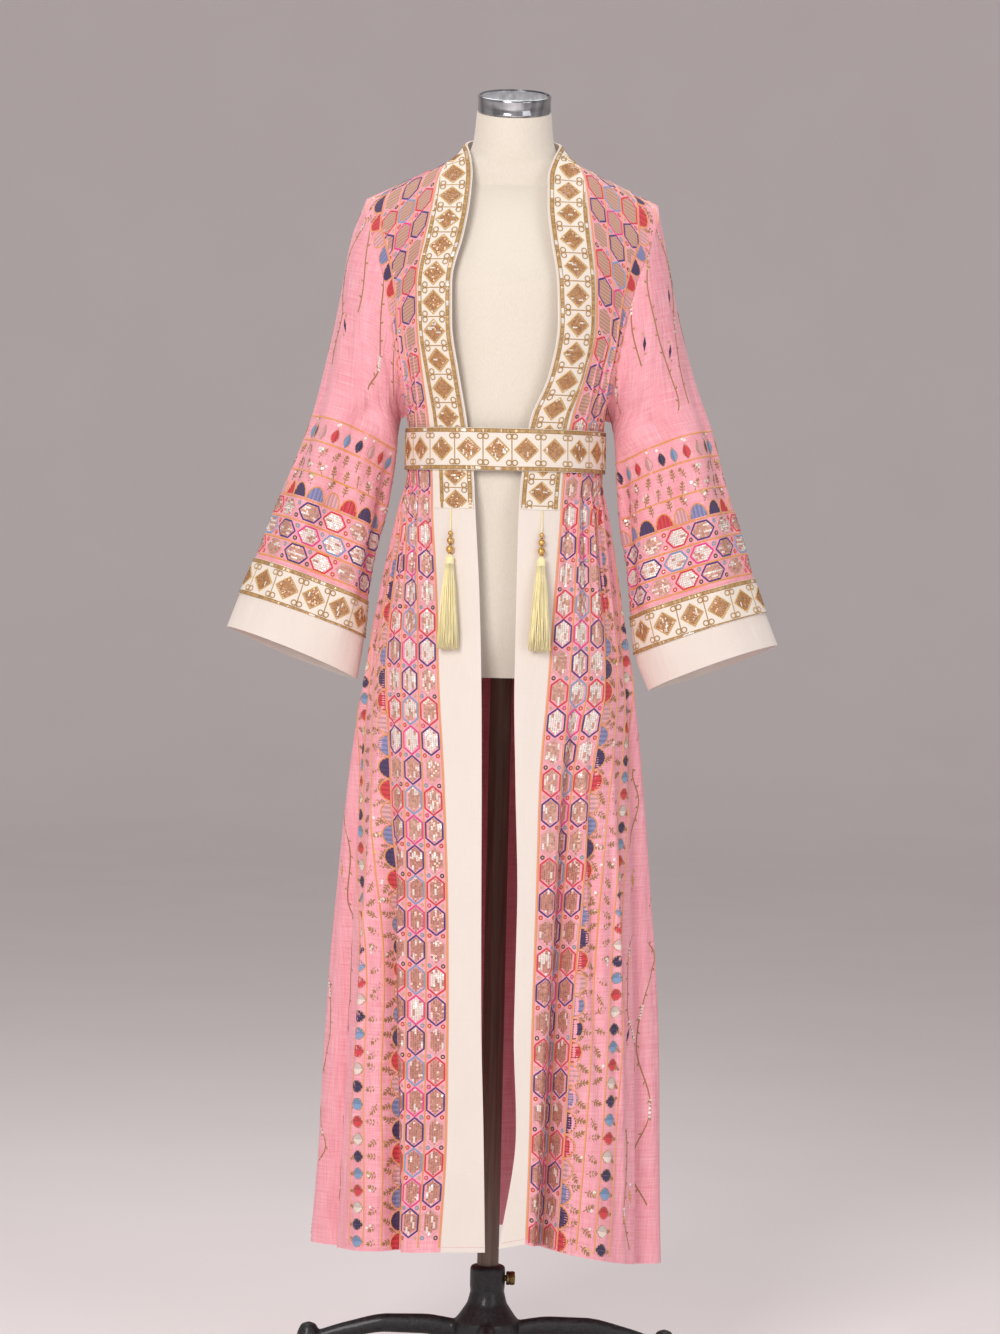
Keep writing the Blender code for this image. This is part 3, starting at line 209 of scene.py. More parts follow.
# %% Silk, jersey, iron, paint, metal and pearl
def grained(name, stretch, dark, light, gloss, depth=0.0, **sockets):
    """The gloss is the least roughness, and how much the grain adds."""
    made = Finish(name, **sockets)
    grain = made.noise(made.body(), stretch, 3.0)
    made.colour(made.mix((grain - 0.5) * 2.0 + 0.5, seen(*dark), seen(*light)))
    made.feed(made.shader, "Roughness", gloss[0] + grain * gloss[1])
    if depth:
        made.relief(grain, depth)
    return made.material


SILK = grained(
    "tassel_silk", (700, 700, 12), (255, 232, 158), (255, 249, 208), (0.42, 0.1), 0.00006,
    Sheen_Weight=0.6,
)
JERSEY = grained(
    "stretch_jersey", (900, 900, 160), (224, 214, 200), (234, 225, 212), (0.8, 0.1), 0.0002,
    Sheen_Weight=0.3,
)
IRON = grained(
    "black_cast_iron", (230, 230, 230), (22, 22, 25), (50, 49, 52), (0.35, 0.3), 0.0012,
    Metallic=0.3, Coat_Weight=0.2,
)
POST_PAINT = grained(
    "post_paint", (240, 240, 9), (100, 86, 76), (142, 126, 112), (0.42, 0.25), 0.0002,
    Metallic=0.2,
)
CHROME = grained(
    "chrome", (42, 42, 2), (70, 72, 78), (240, 242, 246), (0.08, 0.1), Metallic=1.0
)
DARK_DISC = grained(
    "dark_disc", (300, 20, 20), (104, 104, 108), (150, 150, 154), (0.35, 0.2), Metallic=0.5
)
BRASS = grained(
    "tarnished_brass", (160, 160, 160), (96, 80, 52), (158, 132, 86), (0.3, 0.2), 0.0004,
    Metallic=1.0,
)
PEARL = grained(
    "gold_pearl", (300, 300, 300), (192, 138, 66), (236, 194, 118), (0.2, 0.15),
    Metallic=0.6, Coat_Weight=0.6,
)
print("hard finishes:", [m.name for m in (SILK, JERSEY, IRON, POST_PAINT, CHROME, BRASS, PEARL)])

# %% [markdown]
# ## The drape as tables
#
# The garment hangs from the shoulders, is pulled in by the belt and opens into folds below it.
# Each row below is one level of the body or one section of a sleeve. The numbers are the same
# as the solids', so the finer cloth made from them lies where the solids are.


# %% The levels of the body and the sections of the sleeves
def read_rows(text, scale=1.0):
    """A table with one row on each line, its numbers first and its name last."""
    rows = [line.split() for line in text.strip().splitlines()]
    return {row[-1]: np.array(row[:-1], float) / scale for row in rows}


WALL = 0.0012  # the cloth, as a wall
SEAM = 0.0003  # the room left where two pieces meet
BELT_TOP, BELT_BOTTOM, BELT_WALL, BELT_EASE = 1.2525, 1.1985, 0.0022, 0.0009
TRIM_END_Z = 1.145  # the front trims stop here, below the belt
TRIM_LIFT = WALL + SEAM  # from a cloth's middle to the middle of what is sewn on it
BAND_EDGE = 0.04  # share of the band's width left plain beside the trim
NECK_TRIM_EDGE = 0.08  # the same share at the foot of the neck band
BELT_RELIEF = 0.03  # the belt eases down from the trim to the cloth over this width
NECK_BAND_BACK = 0.0650  # from the shoulder line to the band's top edge behind the neck
NECK_BAND_RISE = 0.0160
BELT_MIDDLE = -0.0115  # where a diamond of the belt stands, at the front
SIDES = {"right": -1, "left": 1}  # the wearer's
SHARED = ("y_side", "depth", "back_depth", "back_z")
OWN = ("x_open", "x_seam", "z_seam", "lift", "x_side", "z_side")
# In millimetres: the four shared columns, then the six of the right side and of the left side
BODY = read_rows("""
0 0 72 1608 60 74.5 1601 20 188 1547 60 74.5 1601 20 188 1547 ridge
26 44 86 1600 54 88 1588 12 189 1533 51.5 86 1588 12 189 1532.6 neck
44 56 96 1586 51.5 95 1572 4 185 1515 44.7 92.3 1572 4 184 1510 collarbone
60 86 106 1546 54.2 101 1535 0 175.5 1485 45 97.2 1535 0 174.5 1480 yoke
68 108 111 1496 60.5 108.5 1496 0 165 1453 49.5 102.2 1496 0 164 1452 chest
70 129 111 1437 73.5 118 1437 0 155 1408 58.8 108.5 1437 0 153 1408 bust
65 127 105 1383 72.5 116.3 1383 0 148 1362 61.2 109.4 1383 0 144 1360 midriff
48 116 98 1320 62.2 108.6 1320 0 139 1312 50.8 97 1320 0 135 1312 ribs
0 106 94 1272 53 101 1272 0 129 1268 31 83 1272 0 126 1268 underarm
0 103 92 1254 50 98.8 1254 0 127 1254 26.8 79.5 1254 0 124 1254 belt_top
0 103 93 1197 41.2 93.8 1197 0 127 1197 20 73 1197 0 124 1197 belt_bottom
0 120 107 1145 37.5 91.2 1145 0 136 1145 17 70 1145 0 131 1145 gathers
0 134 135 1040 30 83 1040 0 157 1040 16.5 64 1040 0 149 1040 hip
0 146 155 930 25 78 930 0 175 930 16.7 58.5 930 0 168 930 thigh
0 159 169 800 21.5 68 800 0 192 800 21 50.5 800 0 183 800 above_knee
0 171 181 650 18.5 60 650 0 201 650 26.5 49.5 650 0 192.5 650 knee
0 178 191 500 15 56 500 0 209 500 26 48 500 0 203 500 calf
0 185 200 350 9 54.5 360 0 218 350 31.5 48 365 0 211 348 shin
0 192 208 185 4 60 215 2 227 202 13 46 228 -6 219 183 hem
""", 1000)
ROWS = {
    name: [dict(zip(SHARED + OWN, [*row[:4], *row[first : first + 6]])) for row in BODY.values()]
    for name, first in (("right", 4), ("left", 10))
}
LEVELS = list(BODY)
UNDERARM, BELT, TRIM_END = (LEVELS.index(name) for name in ("underarm", "belt_top", "gathers"))
LAST = len(LEVELS) - 1
ROUNDNESS = 2.2  # 2 is an ellipse, more is squarer
ARMHOLE_HALF = 0.070  # half the widest armhole, front to back
ARMHOLE_OPENS = math.radians(34)  # the panels meet a sleeve before they turn to the side
BACK_SLOPE = 1.4  # how late a back level drops from the middle to the side

# A sleeve, one row for each section from the armhole to the cuff's edge, in millimetres: its
# outer fold and its underarm edge, seen from the front, its half depth, and how far forward
# its middle lies
SLEEVES = {
    "right": read_rows("""
188 1547 129 1268 70 0 armhole
207 1494 137 1265.5 68 0 shoulder_drop
220 1416 140 1253 62 0 upper_arm
237 1330 141.5 1240 57 2 elbow
253 1264 142.5 1221 53 4 first_stripe
276 1200 152 1149 50 8 third_stripe
301 1136 166 1092 48 12 fifth_stripe
321 1080 175.5 1028 47 16 trim_top
340 1033 179 980 46 19 trim_foot
355.5 991 186.5 927 45 22 cuff_edge
""", 1000),
    "left": read_rows("""
188 1547 126 1268 70 0 armhole
201 1485 134.5 1265.5 68 0 shoulder_drop
219 1400 138 1253 62 0 upper_arm
242 1320 140 1240 57 2 elbow
265.5 1256 141.5 1220 53 4 first_stripe
284 1190 148 1138 50 8 third_stripe
306 1125 159 1078 48 12 fifth_stripe
323 1068 166 1016 47 16 trim_top
339 1024 173 965 46 19 trim_foot
355.5 983 190.5 921 45 22 cuff_edge
""", 1000),
}
TRIM_TOP, CUFF_EDGE = 7, 9  # two of those sections
CUFF_FLATNESS = 0.4  # the folded edges of the sleeve grow sharper towards the cuff
CUFF_TILT = 0.16  # the cuff's back hangs lower than its front, as a slope
ARMHOLE_KEPT = {0: 1.0, 1: 1.0, 2: 0.5}  # how much of the armhole's own shape a section keeps
print("body levels:", len(LEVELS), "sleeve sections:", len(SLEEVES["right"]))

# %% Large soft folds and small creases
# A fold's place across the panel at the belt and at the hem, its half width, its depth at the
# hem (a ridge is positive), the level it starts from, and how it grows below that (a power
# under 1 opens it sooner)
FOLDS = {
    "right": read_rows("""
0.43 0.235 0.075 -0.030 12.2 1.2 column_fold
0.60 0.400 0.130 0.006 11 0.8 sprig_ridge
0.80 0.630 0.070 -0.016 12.6 0.8 leaf_fold
0.88 0.770 0.090 0.011 11 0.8 side_ridge
0.94 0.900 0.070 -0.012 11 0.8 side_trough
"""),
    "left": read_rows("""
0.24 0.105 0.085 -0.040 13.1 0.55 band_fold
0.50 0.330 0.130 0.006 12 0.8 sprig_ridge
0.80 0.660 0.080 -0.013 12 0.8 plain_fold
0.88 0.790 0.090 0.012 11 0.8 side_ridge
0.94 0.910 0.070 -0.012 11 0.8 side_trough
"""),
    "back": read_rows("""
0.09 0.08 0.06 -0.015 10.5 0.8 trough_1
0.19 0.18 0.07 0.016 10 0.8 ridge_1
0.30 0.29 0.07 -0.022 10 0.8 trough_2
0.40 0.39 0.07 0.017 10.5 0.8 ridge_2
0.50 0.49 0.07 -0.020 10 0.8 trough_3
0.59 0.60 0.07 0.018 10.5 0.8 ridge_3
0.68 0.70 0.07 -0.021 10 0.8 trough_4
0.79 0.81 0.07 0.015 10 0.8 ridge_4
0.90 0.92 0.06 -0.015 10.5 0.8 trough_5
"""),
}
FOLD_FREE_EDGE = 0.05  # share of a panel beside its seams where folds fade out
# A crease's place across the panel at its start and end, its half width, its depth, and its
# start and end level. On a sleeve, place and width are degrees and levels are sections
CREASES = {
    "front": """
0.10 0.08 0.035 -0.0032 10 13
0.22 0.19 0.040 0.0035 10 13.6
0.31 0.29 0.035 -0.0041 10 12.9
0.43 0.40 0.045 0.0043 10 13.8
0.53 0.50 0.035 -0.0049 10 13
0.64 0.62 0.045 0.0043 10 13.4
0.72 0.70 0.035 -0.0043 10 12.8
0.83 0.84 0.045 0.0041 10 13.2
0.93 0.93 0.035 -0.0029 10 12.6
0.26 0.20 0.050 0.0026 6.2 9.4
0.52 0.40 0.060 -0.0034 5.6 9.4
0.74 0.62 0.060 0.0034 5.2 9.2
0.86 0.78 0.060 -0.0034 4.8 9
0.30 0.36 0.050 -0.0058 13 18.6
0.47 0.50 0.045 0.0072 13.5 18.8
0.68 0.66 0.040 -0.0060 13.2 18.7
0.85 0.83 0.035 0.0070 14 18.9
""",
    "back": """
0.12 0.10 0.030 0.0038 10 13.4
0.22 0.24 0.030 -0.0043 10 13
0.31 0.33 0.028 0.0041 10 13.8
0.39 0.37 0.030 -0.0049 10 13.1
0.47 0.48 0.030 0.0041 10 13.5
0.55 0.54 0.028 -0.0046 10 12.9
0.64 0.66 0.030 0.0043 10 13.6
0.73 0.72 0.030 -0.0046 10 13
0.84 0.85 0.030 0.0041 10 13.3
0.20 0.30 0.050 -0.0040 4.4 9.4
0.36 0.42 0.045 0.0034 5 9.4
0.50 0.50 0.060 -0.0030 3 9.2
0.66 0.60 0.045 0.0036 5.4 9.4
0.82 0.72 0.050 -0.0040 4.2 9.4
0.14 0.13 0.026 0.0052 13.4 18.8
0.25 0.24 0.026 -0.0046 13 18.7
0.45 0.44 0.028 0.0049 13.6 18.8
0.55 0.56 0.026 -0.0049 13.2 18.7
0.74 0.76 0.028 0.0049 13.5 18.8
0.86 0.87 0.026 -0.0046 13 18.7
""",
    "sleeve": """
150 62 26 -0.0074 1.2 4.6
128 40 20 0.0057 1.8 5.2
96 88 20 -0.0092 3 9.6
62 70 24 0.0066 3.4 9.6
30 26 18 -0.0048 2.2 7.4
136 128 22 0.0074 4 9.6
160 156 16 -0.0061 3.6 7.6
208 232 26 0.0079 1.6 8.6
246 262 22 -0.0088 2.4 8.8
290 286 26 0.0070 1.4 7.6
324 318 20 -0.0057 2.6 9.4
""",
}
CREASES = {part: np.array(text.split(), float).reshape(-1, 6) for part, text in CREASES.items()}
# The sleeve's broad folds: section where it is deepest, degrees round it, half width, depth
SLEEVE_FOLDS = read_rows("""
3.2 105 42 -0.009 elbow_crease
4.6 140 34 -0.008 underarm_fold
5.0 60 36 0.007 long_ridge
3.6 250 40 -0.010 back_crease
""")
SLEEVE_FOLD_LENGTH = 2.0  # in sections
print("creases:", {part: len(rows) for part, rows in CREASES.items()})

# %% [markdown]
# ## Reading the tables smoothly
#
# A table has few rows, and cloth has many. A cubic curve through every row gives the levels
# between them without overshooting, so a wide part never bulges past its neighbours.


# %% Smooth curves through the levels
def smooth(values, where):
    """Reads a table at fractional places, row 0 being the first."""
    values = np.asarray(values, dtype=float)
    steps = np.diff(values, axis=0)
    product, total = steps[:-1] * steps[1:], steps[:-1] + steps[1:]
    safe = np.where(np.abs(total) < 1e-12, 1.0, total)
    inner = np.where(product > 0.0, 2.0 * product / safe, 0.0)
    rate = np.concatenate([steps[:1], inner, steps[-1:]])
    where = np.asarray(where, dtype=float)
    low = np.clip(np.floor(where).astype(int), 0, len(values) - 2)
    t = (where - low).reshape((-1,) + (1,) * (values.ndim - 1))
    start = (2 * t**3 - 3 * t**2 + 1) * values[low] + (t**3 - 2 * t**2 + t) * rate[low]
    return start + (3 * t**2 - 2 * t**3) * values[low + 1] + (t**3 - t**2) * rate[low + 1]


def unit(vectors):
    return vectors / np.maximum(np.linalg.norm(vectors, axis=-1, keepdims=True), 1e-12)


def grid_normals(points, closed=False, middle=None):
    """Normals of a grid, turned away from the body's axis or from a given middle line."""
    along = np.gradient(points, axis=0)
    if closed:
        across = np.roll(points, -1, axis=1) - np.roll(points, 1, axis=1)
    else:
        across = np.gradient(points, axis=1)
    normals = unit(np.cross(across, along))
    away = points * (1, 1, 0) if middle is None else points - middle[:, None, :]
    return normals if np.sum(away * normals) > 0 else -normals


# %% [markdown]
# ## The panels' forms
#
# Seen from above, each level of the garment is a rounded outline. A front runs from the band's
# seam to the side, the back from side to side. Below the belt, folds open: each is a soft ridge
# or trough that wanders across the panel and grows towards the hem.


# %% Outlines of the body
def turn_limit(row):
    return math.pi / 2 - ARMHOLE_OPENS * row["y_side"] / ARMHOLE_HALF


def outline_point(row, depth, angle):
    """A point of a level's outline: angle 0 is at the middle, the turn's limit at the side."""
    limit, power = turn_limit(row), 2 / ROUNDNESS
    last_deep = max(0.0, math.cos(limit)) ** power
    wide = np.abs(np.sin(angle)) ** power / math.sin(limit) ** power
    deep = (np.maximum(np.cos(angle), 0.0) ** power - last_deep) / (1 - last_deep)
    return row["x_side"] * wide, row["y_side"] + (depth - row["y_side"]) * deep


def edge_angle(row, name):
    share = row[name] / row["x_side"] * math.sin(turn_limit(row)) ** (2 / ROUNDNESS)
    return math.asin(min(1.0, share ** (ROUNDNESS / 2)))


def height_at(row, x):
    """A level's height between its seam and its side."""
    across = (x - row["x_seam"]) / (row["x_side"] - row["x_seam"])
    return row["z_seam"] + (row["z_side"] - row["z_seam"]) * across


def front_grid(name, where, shares, first="x_seam", last=None):
    """A front panel from its seam to the side, or a band from its free edge to its seam."""
    grid = []
    for row in ROWS[name]:
        start, stop = edge_angle(row, first), edge_angle(row, last) if last else turn_limit(row)
        x, y = outline_point(row, row["depth"], start + (stop - start) * shares)
        z = row["z_seam"] + row["lift"] * (1 - shares) if last else height_at(row, x)
        grid.append(np.stack([SIDES[name] * x, -y, z], axis=1))
    return smooth(grid, where)


def band_grid(name, where, shares):
    return front_grid(name, where, shares, "x_open", "x_seam")


def ridge_point(row, x):
    """The back's top edge: round the neck as far as the seam, then along the shoulder."""
    if x >= row["x_seam"]:
        return 0.0, height_at(row, x)
    part = math.sqrt(1 - (x / row["x_seam"]) ** 2)
    return row["back_depth"] * part, row["z_seam"] + (row["back_z"] - row["z_seam"]) * part


def back_grid(where, shares):
    """The back: shares run 0 at the wearer's right side to 1 at the left side."""
    grid = []
    for level in range(len(LEVELS)):
        points = []
        for share in shares:
            name = "right" if share < 0.5 else "left"
            row = ROWS[name][level]
            x, y = outline_point(row, row["back_depth"], abs(share - 0.5) * 2 * turn_limit(row))
            drop = (row["z_side"] - row["back_z"]) * (x / row["x_side"]) ** BACK_SLOPE
            y, z = (y, row["back_z"] + drop) if level else ridge_point(row, x)
            points.append((SIDES[name] * x, y, z))
        grid.append(points)
    return smooth(grid, where)


# %% Folds of the skirt, gathers at the belt and small creases
def swell(distance):
    """1 in the middle of a fold and 0 at its edge, rounded at both."""
    return 0.5 + 0.5 * np.cos(math.pi * np.clip(np.abs(distance), 0.0, 1.0))


def small_creases(where, place, part):
    amount = 0.0
    for at_start, at_end, half_width, depth, start, end in CREASES[part]:
        share = np.clip((where - start) / (end - start), 0.0, 1.0)
        middle = at_start + (at_end - at_start) * share
        fade = np.minimum(1.0, 3.2 * share) * swell(np.clip(share * 1.5 - 0.5, 0.0, 1.0))
        amount = amount + depth * fade * swell((place - middle) / half_width)
    return amount


def fold_panel(points, shares, folds, part):
    """Moves a panel's points along its normals, and leaves its seams where they are."""
    where, amount = rows_down[:, None], 0.0
    for at_belt, at_hem, half_width, depth, start, growth in FOLDS[folds].values():
        grow = np.clip((where - start) / (LAST - start), 0.0, 1.0) ** growth
        middle = at_belt + (at_hem - at_belt) * grow
        amount = amount + depth * grow * swell((shares[None, :] - middle) / half_width)
    amount = amount + small_creases(where, shares[None, :], part)
    edge = np.clip(np.minimum(shares, 1 - shares) / FOLD_FREE_EDGE, 0, 1)
    return points + grid_normals(points) * (amount * edge[None, :])[:, :, None]


# %% Fine levels and the fronts, back and bands made from them
ARM_FINE, FRONT_FINE, BACK_FINE, BAND_FINE = 48, 100, 168, 12
dense = np.linspace(0, UNDERARM, 600)
drop = smooth([row["z_side"] for row in ROWS["right"]], dense)
arm_part = (drop[0] - drop) / (drop[0] - drop[-1])
arm_even = (1 - np.cos(np.linspace(0, math.pi, ARM_FINE + 1))) / 2
rows_down = np.concatenate(
    [
        np.interp(arm_even, arm_part, dense),
        np.linspace(UNDERARM, BELT, 4)[1:],
        np.linspace(BELT, BELT + 1, 7)[1:],
        np.linspace(BELT + 1, LAST, 112)[1:],
    ]
)
shares_front = np.linspace(0.0, 1.0, FRONT_FINE + 1) ** 1.3
shares_back = np.linspace(0.0, 1.0, BACK_FINE + 1)
grids = {}
for name in SIDES:
    front = front_grid(name, rows_down, shares_front)
    front = fold_panel(front, shares_front, name, "front")
    front[0, :, 1] = -SEAM / 2
    front[ARM_FINE:, -1, 1] = -SEAM / 2
    band = band_grid(name, rows_down, np.linspace(0.0, 1.0, BAND_FINE + 1))
    band[0, :, 1] = -SEAM / 2
    band[:, -1] = front[:, 0] + unit(front[:, 0] - front[:, 1]) * SEAM / 2
    grids["front_" + name], grids["band_" + name] = front, band
back = fold_panel(back_grid(rows_down, shares_back), shares_back, "back", "back")
back[0, :, 1] = np.maximum(back[0, :, 1], SEAM / 2)
back[ARM_FINE:, (0, -1), 1] = SEAM / 2
grids["back"] = back
print("body grids:", {name: grid.shape[:2] for name, grid in grids.items()})

# %% [markdown]
# ## The sleeves' forms
#
# A kimono sleeve hangs from the shoulder, so its sections are flat tubes that widen towards the
# cuff. Its first ring is the armhole itself: the edges of the front and the back.


# %% Sleeve rings
def sleeve_grid(name, where):
    """Rings from the armhole to the cuff's edge, and their normals; angle 0 is the outer fold."""
    side, rows = SIDES[name], list(SLEEVES[name].values())
    turn = np.arccos(np.clip(1 - 2 * arm_even, -1, 1))
    angles = np.concatenate([turn, 2 * math.pi - turn[1:-1][::-1]])
    front = grids["front_" + name][: ARM_FINE + 1, -1]
    rear = grids["back"][: ARM_FINE + 1, 0 if side < 0 else -1]
    ends = (front + rear) / 2
    armhole = np.vstack([ends[:1], front[1:-1], ends[-1:], rear[1:-1][::-1]])
    upper = (1 + np.cos(angles))[:, None] / 2
    sections = []
    for index, row in enumerate(rows):
        x_out, z_out, x_in, z_in, half_depth, forward = row
        share, kept = index / CUFF_EDGE, ARMHOLE_KEPT.get(index, 0.0)
        middle = np.array([(x_out + x_in) / 2 * side, -forward, (z_out + z_in) / 2])
        arm = np.array([(x_out - x_in) / 2 * side, 0.0, (z_out - z_in) / 2])
        bulge = np.sign(np.sin(angles)) * np.abs(np.sin(angles)) ** (1 + CUFF_FLATNESS * share)
        ring = middle + np.cos(angles)[:, None] * arm
        ring[:, 1] -= bulge * half_depth
        ring[:, 2] -= CUFF_TILT * share * (ring[:, 1] + forward)
        out_x, out_z, in_x, in_z = (row - rows[0])[:4]
        carried = armhole + np.array([out_x * side, 0.0, out_z]) * upper
        carried = carried + np.array([in_x * side, 0.0, in_z]) * (1 - upper)
        sections.append(carried * kept + ring * (1 - kept))
    points = smooth(sections, where)
    middle = points.mean(axis=1)
    degrees, place = np.degrees(angles)[None, :], where[:, None]
    amount = small_creases(place, degrees, "sleeve")
    for level, at, half_width, depth in SLEEVE_FOLDS.values():
        along = swell((place - level) / SLEEVE_FOLD_LENGTH)
        amount = amount + depth * along * swell((degrees - at) / half_width)
    points = points + grid_normals(points, True, middle) * amount[:, :, None]
    return points, grid_normals(points, True, middle)


def unrolled(grid, turn=0):
    """A tube's rings cut open: the first column is repeated at the end."""
    grid = np.roll(grid, turn, axis=1)
    return np.concatenate([grid, grid[:, :1]], axis=1)


SLEEVE_FINE = 71
down = [np.linspace(0, TRIM_TOP, SLEEVE_FINE), np.linspace(TRIM_TOP, CUFF_EDGE, 19)[1:]]
for name in SIDES:
    whole = [unrolled(part, ARM_FINE) for part in sleeve_grid(name, np.concatenate(down))]
    grids["sleeve_" + name] = [part[:SLEEVE_FINE] for part in whole]
    grids["cuff_" + name] = [part[SLEEVE_FINE - 1 :] for part in whole]
print("sleeve grids:", grids["sleeve_left"][0].shape[:2], grids["cuff_left"][0].shape[:2])

# %% [markdown]
# ## From a grid to a piece of cloth
#
# A grid primitive has the same rows and columns as the tables, so each of its points only has
# to be put in place. Its map is the flat cut in metres, which keeps the weave and the
# embroidery true to the cloth. Solidify then gives the sheet its thickness.


# %% The Cloth class: a sheet with its flat places
def resampled(wanted, known, fields):
    """Reads every field of a line of points at the wanted places."""
    return np.stack([np.interp(wanted, known, field) for field in fields.T], axis=1)


class Cloth:
    """A sheet on its form. Its flat place is u across and v down (or up a sleeve)."""

    STEP = 0.002

    def __init__(self, points, start, ruler=None, normals=None, up=False):
        """The start column has u = 0. The ruler column measures v, or every column if None."""
        self.points, self.start = points, start
        self.normals = grid_normals(points) if normals is None else normals
        steps = np.linalg.norm(np.diff(points, axis=0), axis=2)
        down = np.vstack([np.zeros((1, points.shape[1])), np.cumsum(steps, axis=0)])
        self.v = down if ruler is None else np.repeat(down[:, ruler : ruler + 1], down.shape[1], 1)
        if up:
            self.v = self.v[-1:] - self.v
        self.u = self.across(points)
        self.flatten()

    def across(self, points):
        steps = np.linalg.norm(np.diff(points, axis=1), axis=2)
        u = np.hstack([np.zeros((len(points), 1)), np.cumsum(steps, axis=1)])
        return u - u[:, self.start : self.start + 1]

    def flatten(self):
        """Samples the sheet on even flat steps, so that any flat place can be looked up."""
        order = slice(None) if self.v[-1, 0] > self.v[0, 0] else slice(None, None, -1)
        fields = np.concatenate([self.points, self.normals], axis=2)[order]
        v = self.v[order]
        self.low_v, self.high_v = v.min(), v.max()
        levels = np.arange(self.low_v, self.high_v + self.STEP, self.STEP)
        columns = range(fields.shape[1])
        down = np.stack([resampled(levels, v[:, k], fields[:, k]) for k in columns], axis=1)
        u = self.across(down[:, :, :3])
        self.edges = u[:, 0], u[:, -1]
        self.low_u = u.min()
        places = np.arange(self.low_u, u.max() + self.STEP, self.STEP)
        self.table = np.stack([resampled(places, *line) for line in zip(u, down)])

    def place(self, flat):
        """Points, normals and whether each flat place lies on the sheet."""
        rows = (flat[:, 1] - self.low_v) / self.STEP
        cols = (flat[:, 0] - self.low_u) / self.STEP
        high = np.array(self.table.shape[:2]) - 2
        i = np.clip(rows.astype(int), 0, high[0])
        j = np.clip(cols.astype(int), 0, high[1])
        s, t = np.clip(rows - i, 0, 1)[:, None], np.clip(cols - j, 0, 1)[:, None]
        near = self.table[i, j] * (1 - t) + self.table[i, j + 1] * t
        far = self.table[i + 1, j] * (1 - t) + self.table[i + 1, j + 1] * t
        found = near * (1 - s) + far * s
        inside = (flat[:, 0] >= self.edges[0][i]) & (flat[:, 0] <= self.edges[1][i])
        inside &= (flat[:, 1] >= self.low_v) & (flat[:, 1] <= self.high_v)
        return found[:, :3], unit(found[:, 3:]), inside

    def v_at(self, height):
        """The v of a height, on the start column."""
        z, v = self.points[:, self.start, 2], self.v[:, self.start]
        order = np.argsort(z)
        return float(np.interp(height, z[order], v[order]))

    def area(self):
        first, second = np.diff(self.points, axis=0)[:, :-1], np.diff(self.points, axis=1)[:-1]
        return float(np.linalg.norm(np.cross(first, second), axis=2).sum())


# %% Make a cloth piece and state its cut
def deselect():
    bpy.ops.object.select_all(action="DESELECT")


def sheet_grid(name, points):
    """A grid primitive with its points put in place."""
    deselect()
    rows, cols = points.shape[:2]
    bpy.ops.mesh.primitive_grid_add(x_subdivisions=cols - 1, y_subdivisions=rows - 1, size=1.0)
    piece = bpy.context.object
    piece.name = piece.data.name = name
    piece.data.vertices.foreach_set("co", points.ravel())
    return piece


def edited(*steps):
    """Selects all of a mesh and takes the steps in edit mode."""
    bpy.ops.object.mode_set(mode="EDIT")
    for step, settings in steps:
        bpy.ops.mesh.select_all(action="SELECT")
        step(**settings)
    bpy.ops.object.mode_set(mode="OBJECT")


MERGE = (bpy.ops.mesh.remove_doubles, {"threshold": 1e-6})
FACE_OUT = (bpy.ops.mesh.normals_make_consistent, {"inside": False})
KINDS = {
    # material, slot, thickness and how it is held
    "body": (PINK, "pink_cloth", 0.0008, "hung"),
    "edge": (CREAM, "cream_cloth", 0.001, "hung"),
    "trim": (TRIM_GROUND, "gold_trim", 0.001, "laid"),
    "belt": (TRIM_GROUND, "gold_trim", 0.002, "stretched"),
}


def cloth_piece(name, kind, *rests_on):
    """Turns a cloth into the sheet that stands for the node of its name."""
    cloth, (material, slot, thickness, held) = cloths[name], KINDS[kind]
    rows, cols = cloth.points.shape[:2]
    cloth.face = thickness / 2
    piece = sheet_grid(name + "_cloth", cloth.points)
    mesh = piece.data
    corners = np.empty(len(mesh.loops), dtype=int)
    mesh.loops.foreach_get("vertex_index", corners)
    layer = mesh.uv_layers.active or mesh.uv_layers.new()
    layer.name = "cut"
    flat = np.stack([cloth.u.ravel(), cloth.v.ravel()], axis=1)
    layer.uv.foreach_set("vector", flat[corners].ravel())
    mesh.update()
    facing = np.empty(len(mesh.polygons) * 3)
    mesh.polygons.foreach_get("normal", facing)
    if np.sum(facing.reshape(rows - 1, cols - 1, 3) * cloth.normals[:-1, :-1]) < 0:
        mesh.flip_normals()
    if np.allclose(cloth.points[:, 0], cloth.points[:, -1]):
        edited(MERGE)
    wall = piece.modifiers.new("wall", "SOLIDIFY")
    wall.thickness, wall.offset, wall.use_even_offset = thickness, 0.0, False
    bpy.ops.object.modifier_apply(modifier="wall")
    bpy.ops.object.shade_smooth_by_angle(angle=math.radians(60))
    mesh.materials.clear()
    mesh.materials.append(material)
    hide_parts(name)
    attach(piece, "form")
    area, length = cloth.area(), float(cloth.high_v - cloth.low_v)
    width = float((cloth.edges[1] - cloth.edges[0]).max())
    round(min(area, width * length * 0.999), 4)
    print(f"{name}: cut {width:.3f} x {length:.3f} m, cloth {area:.3f} m2, {rows} x {cols} points")


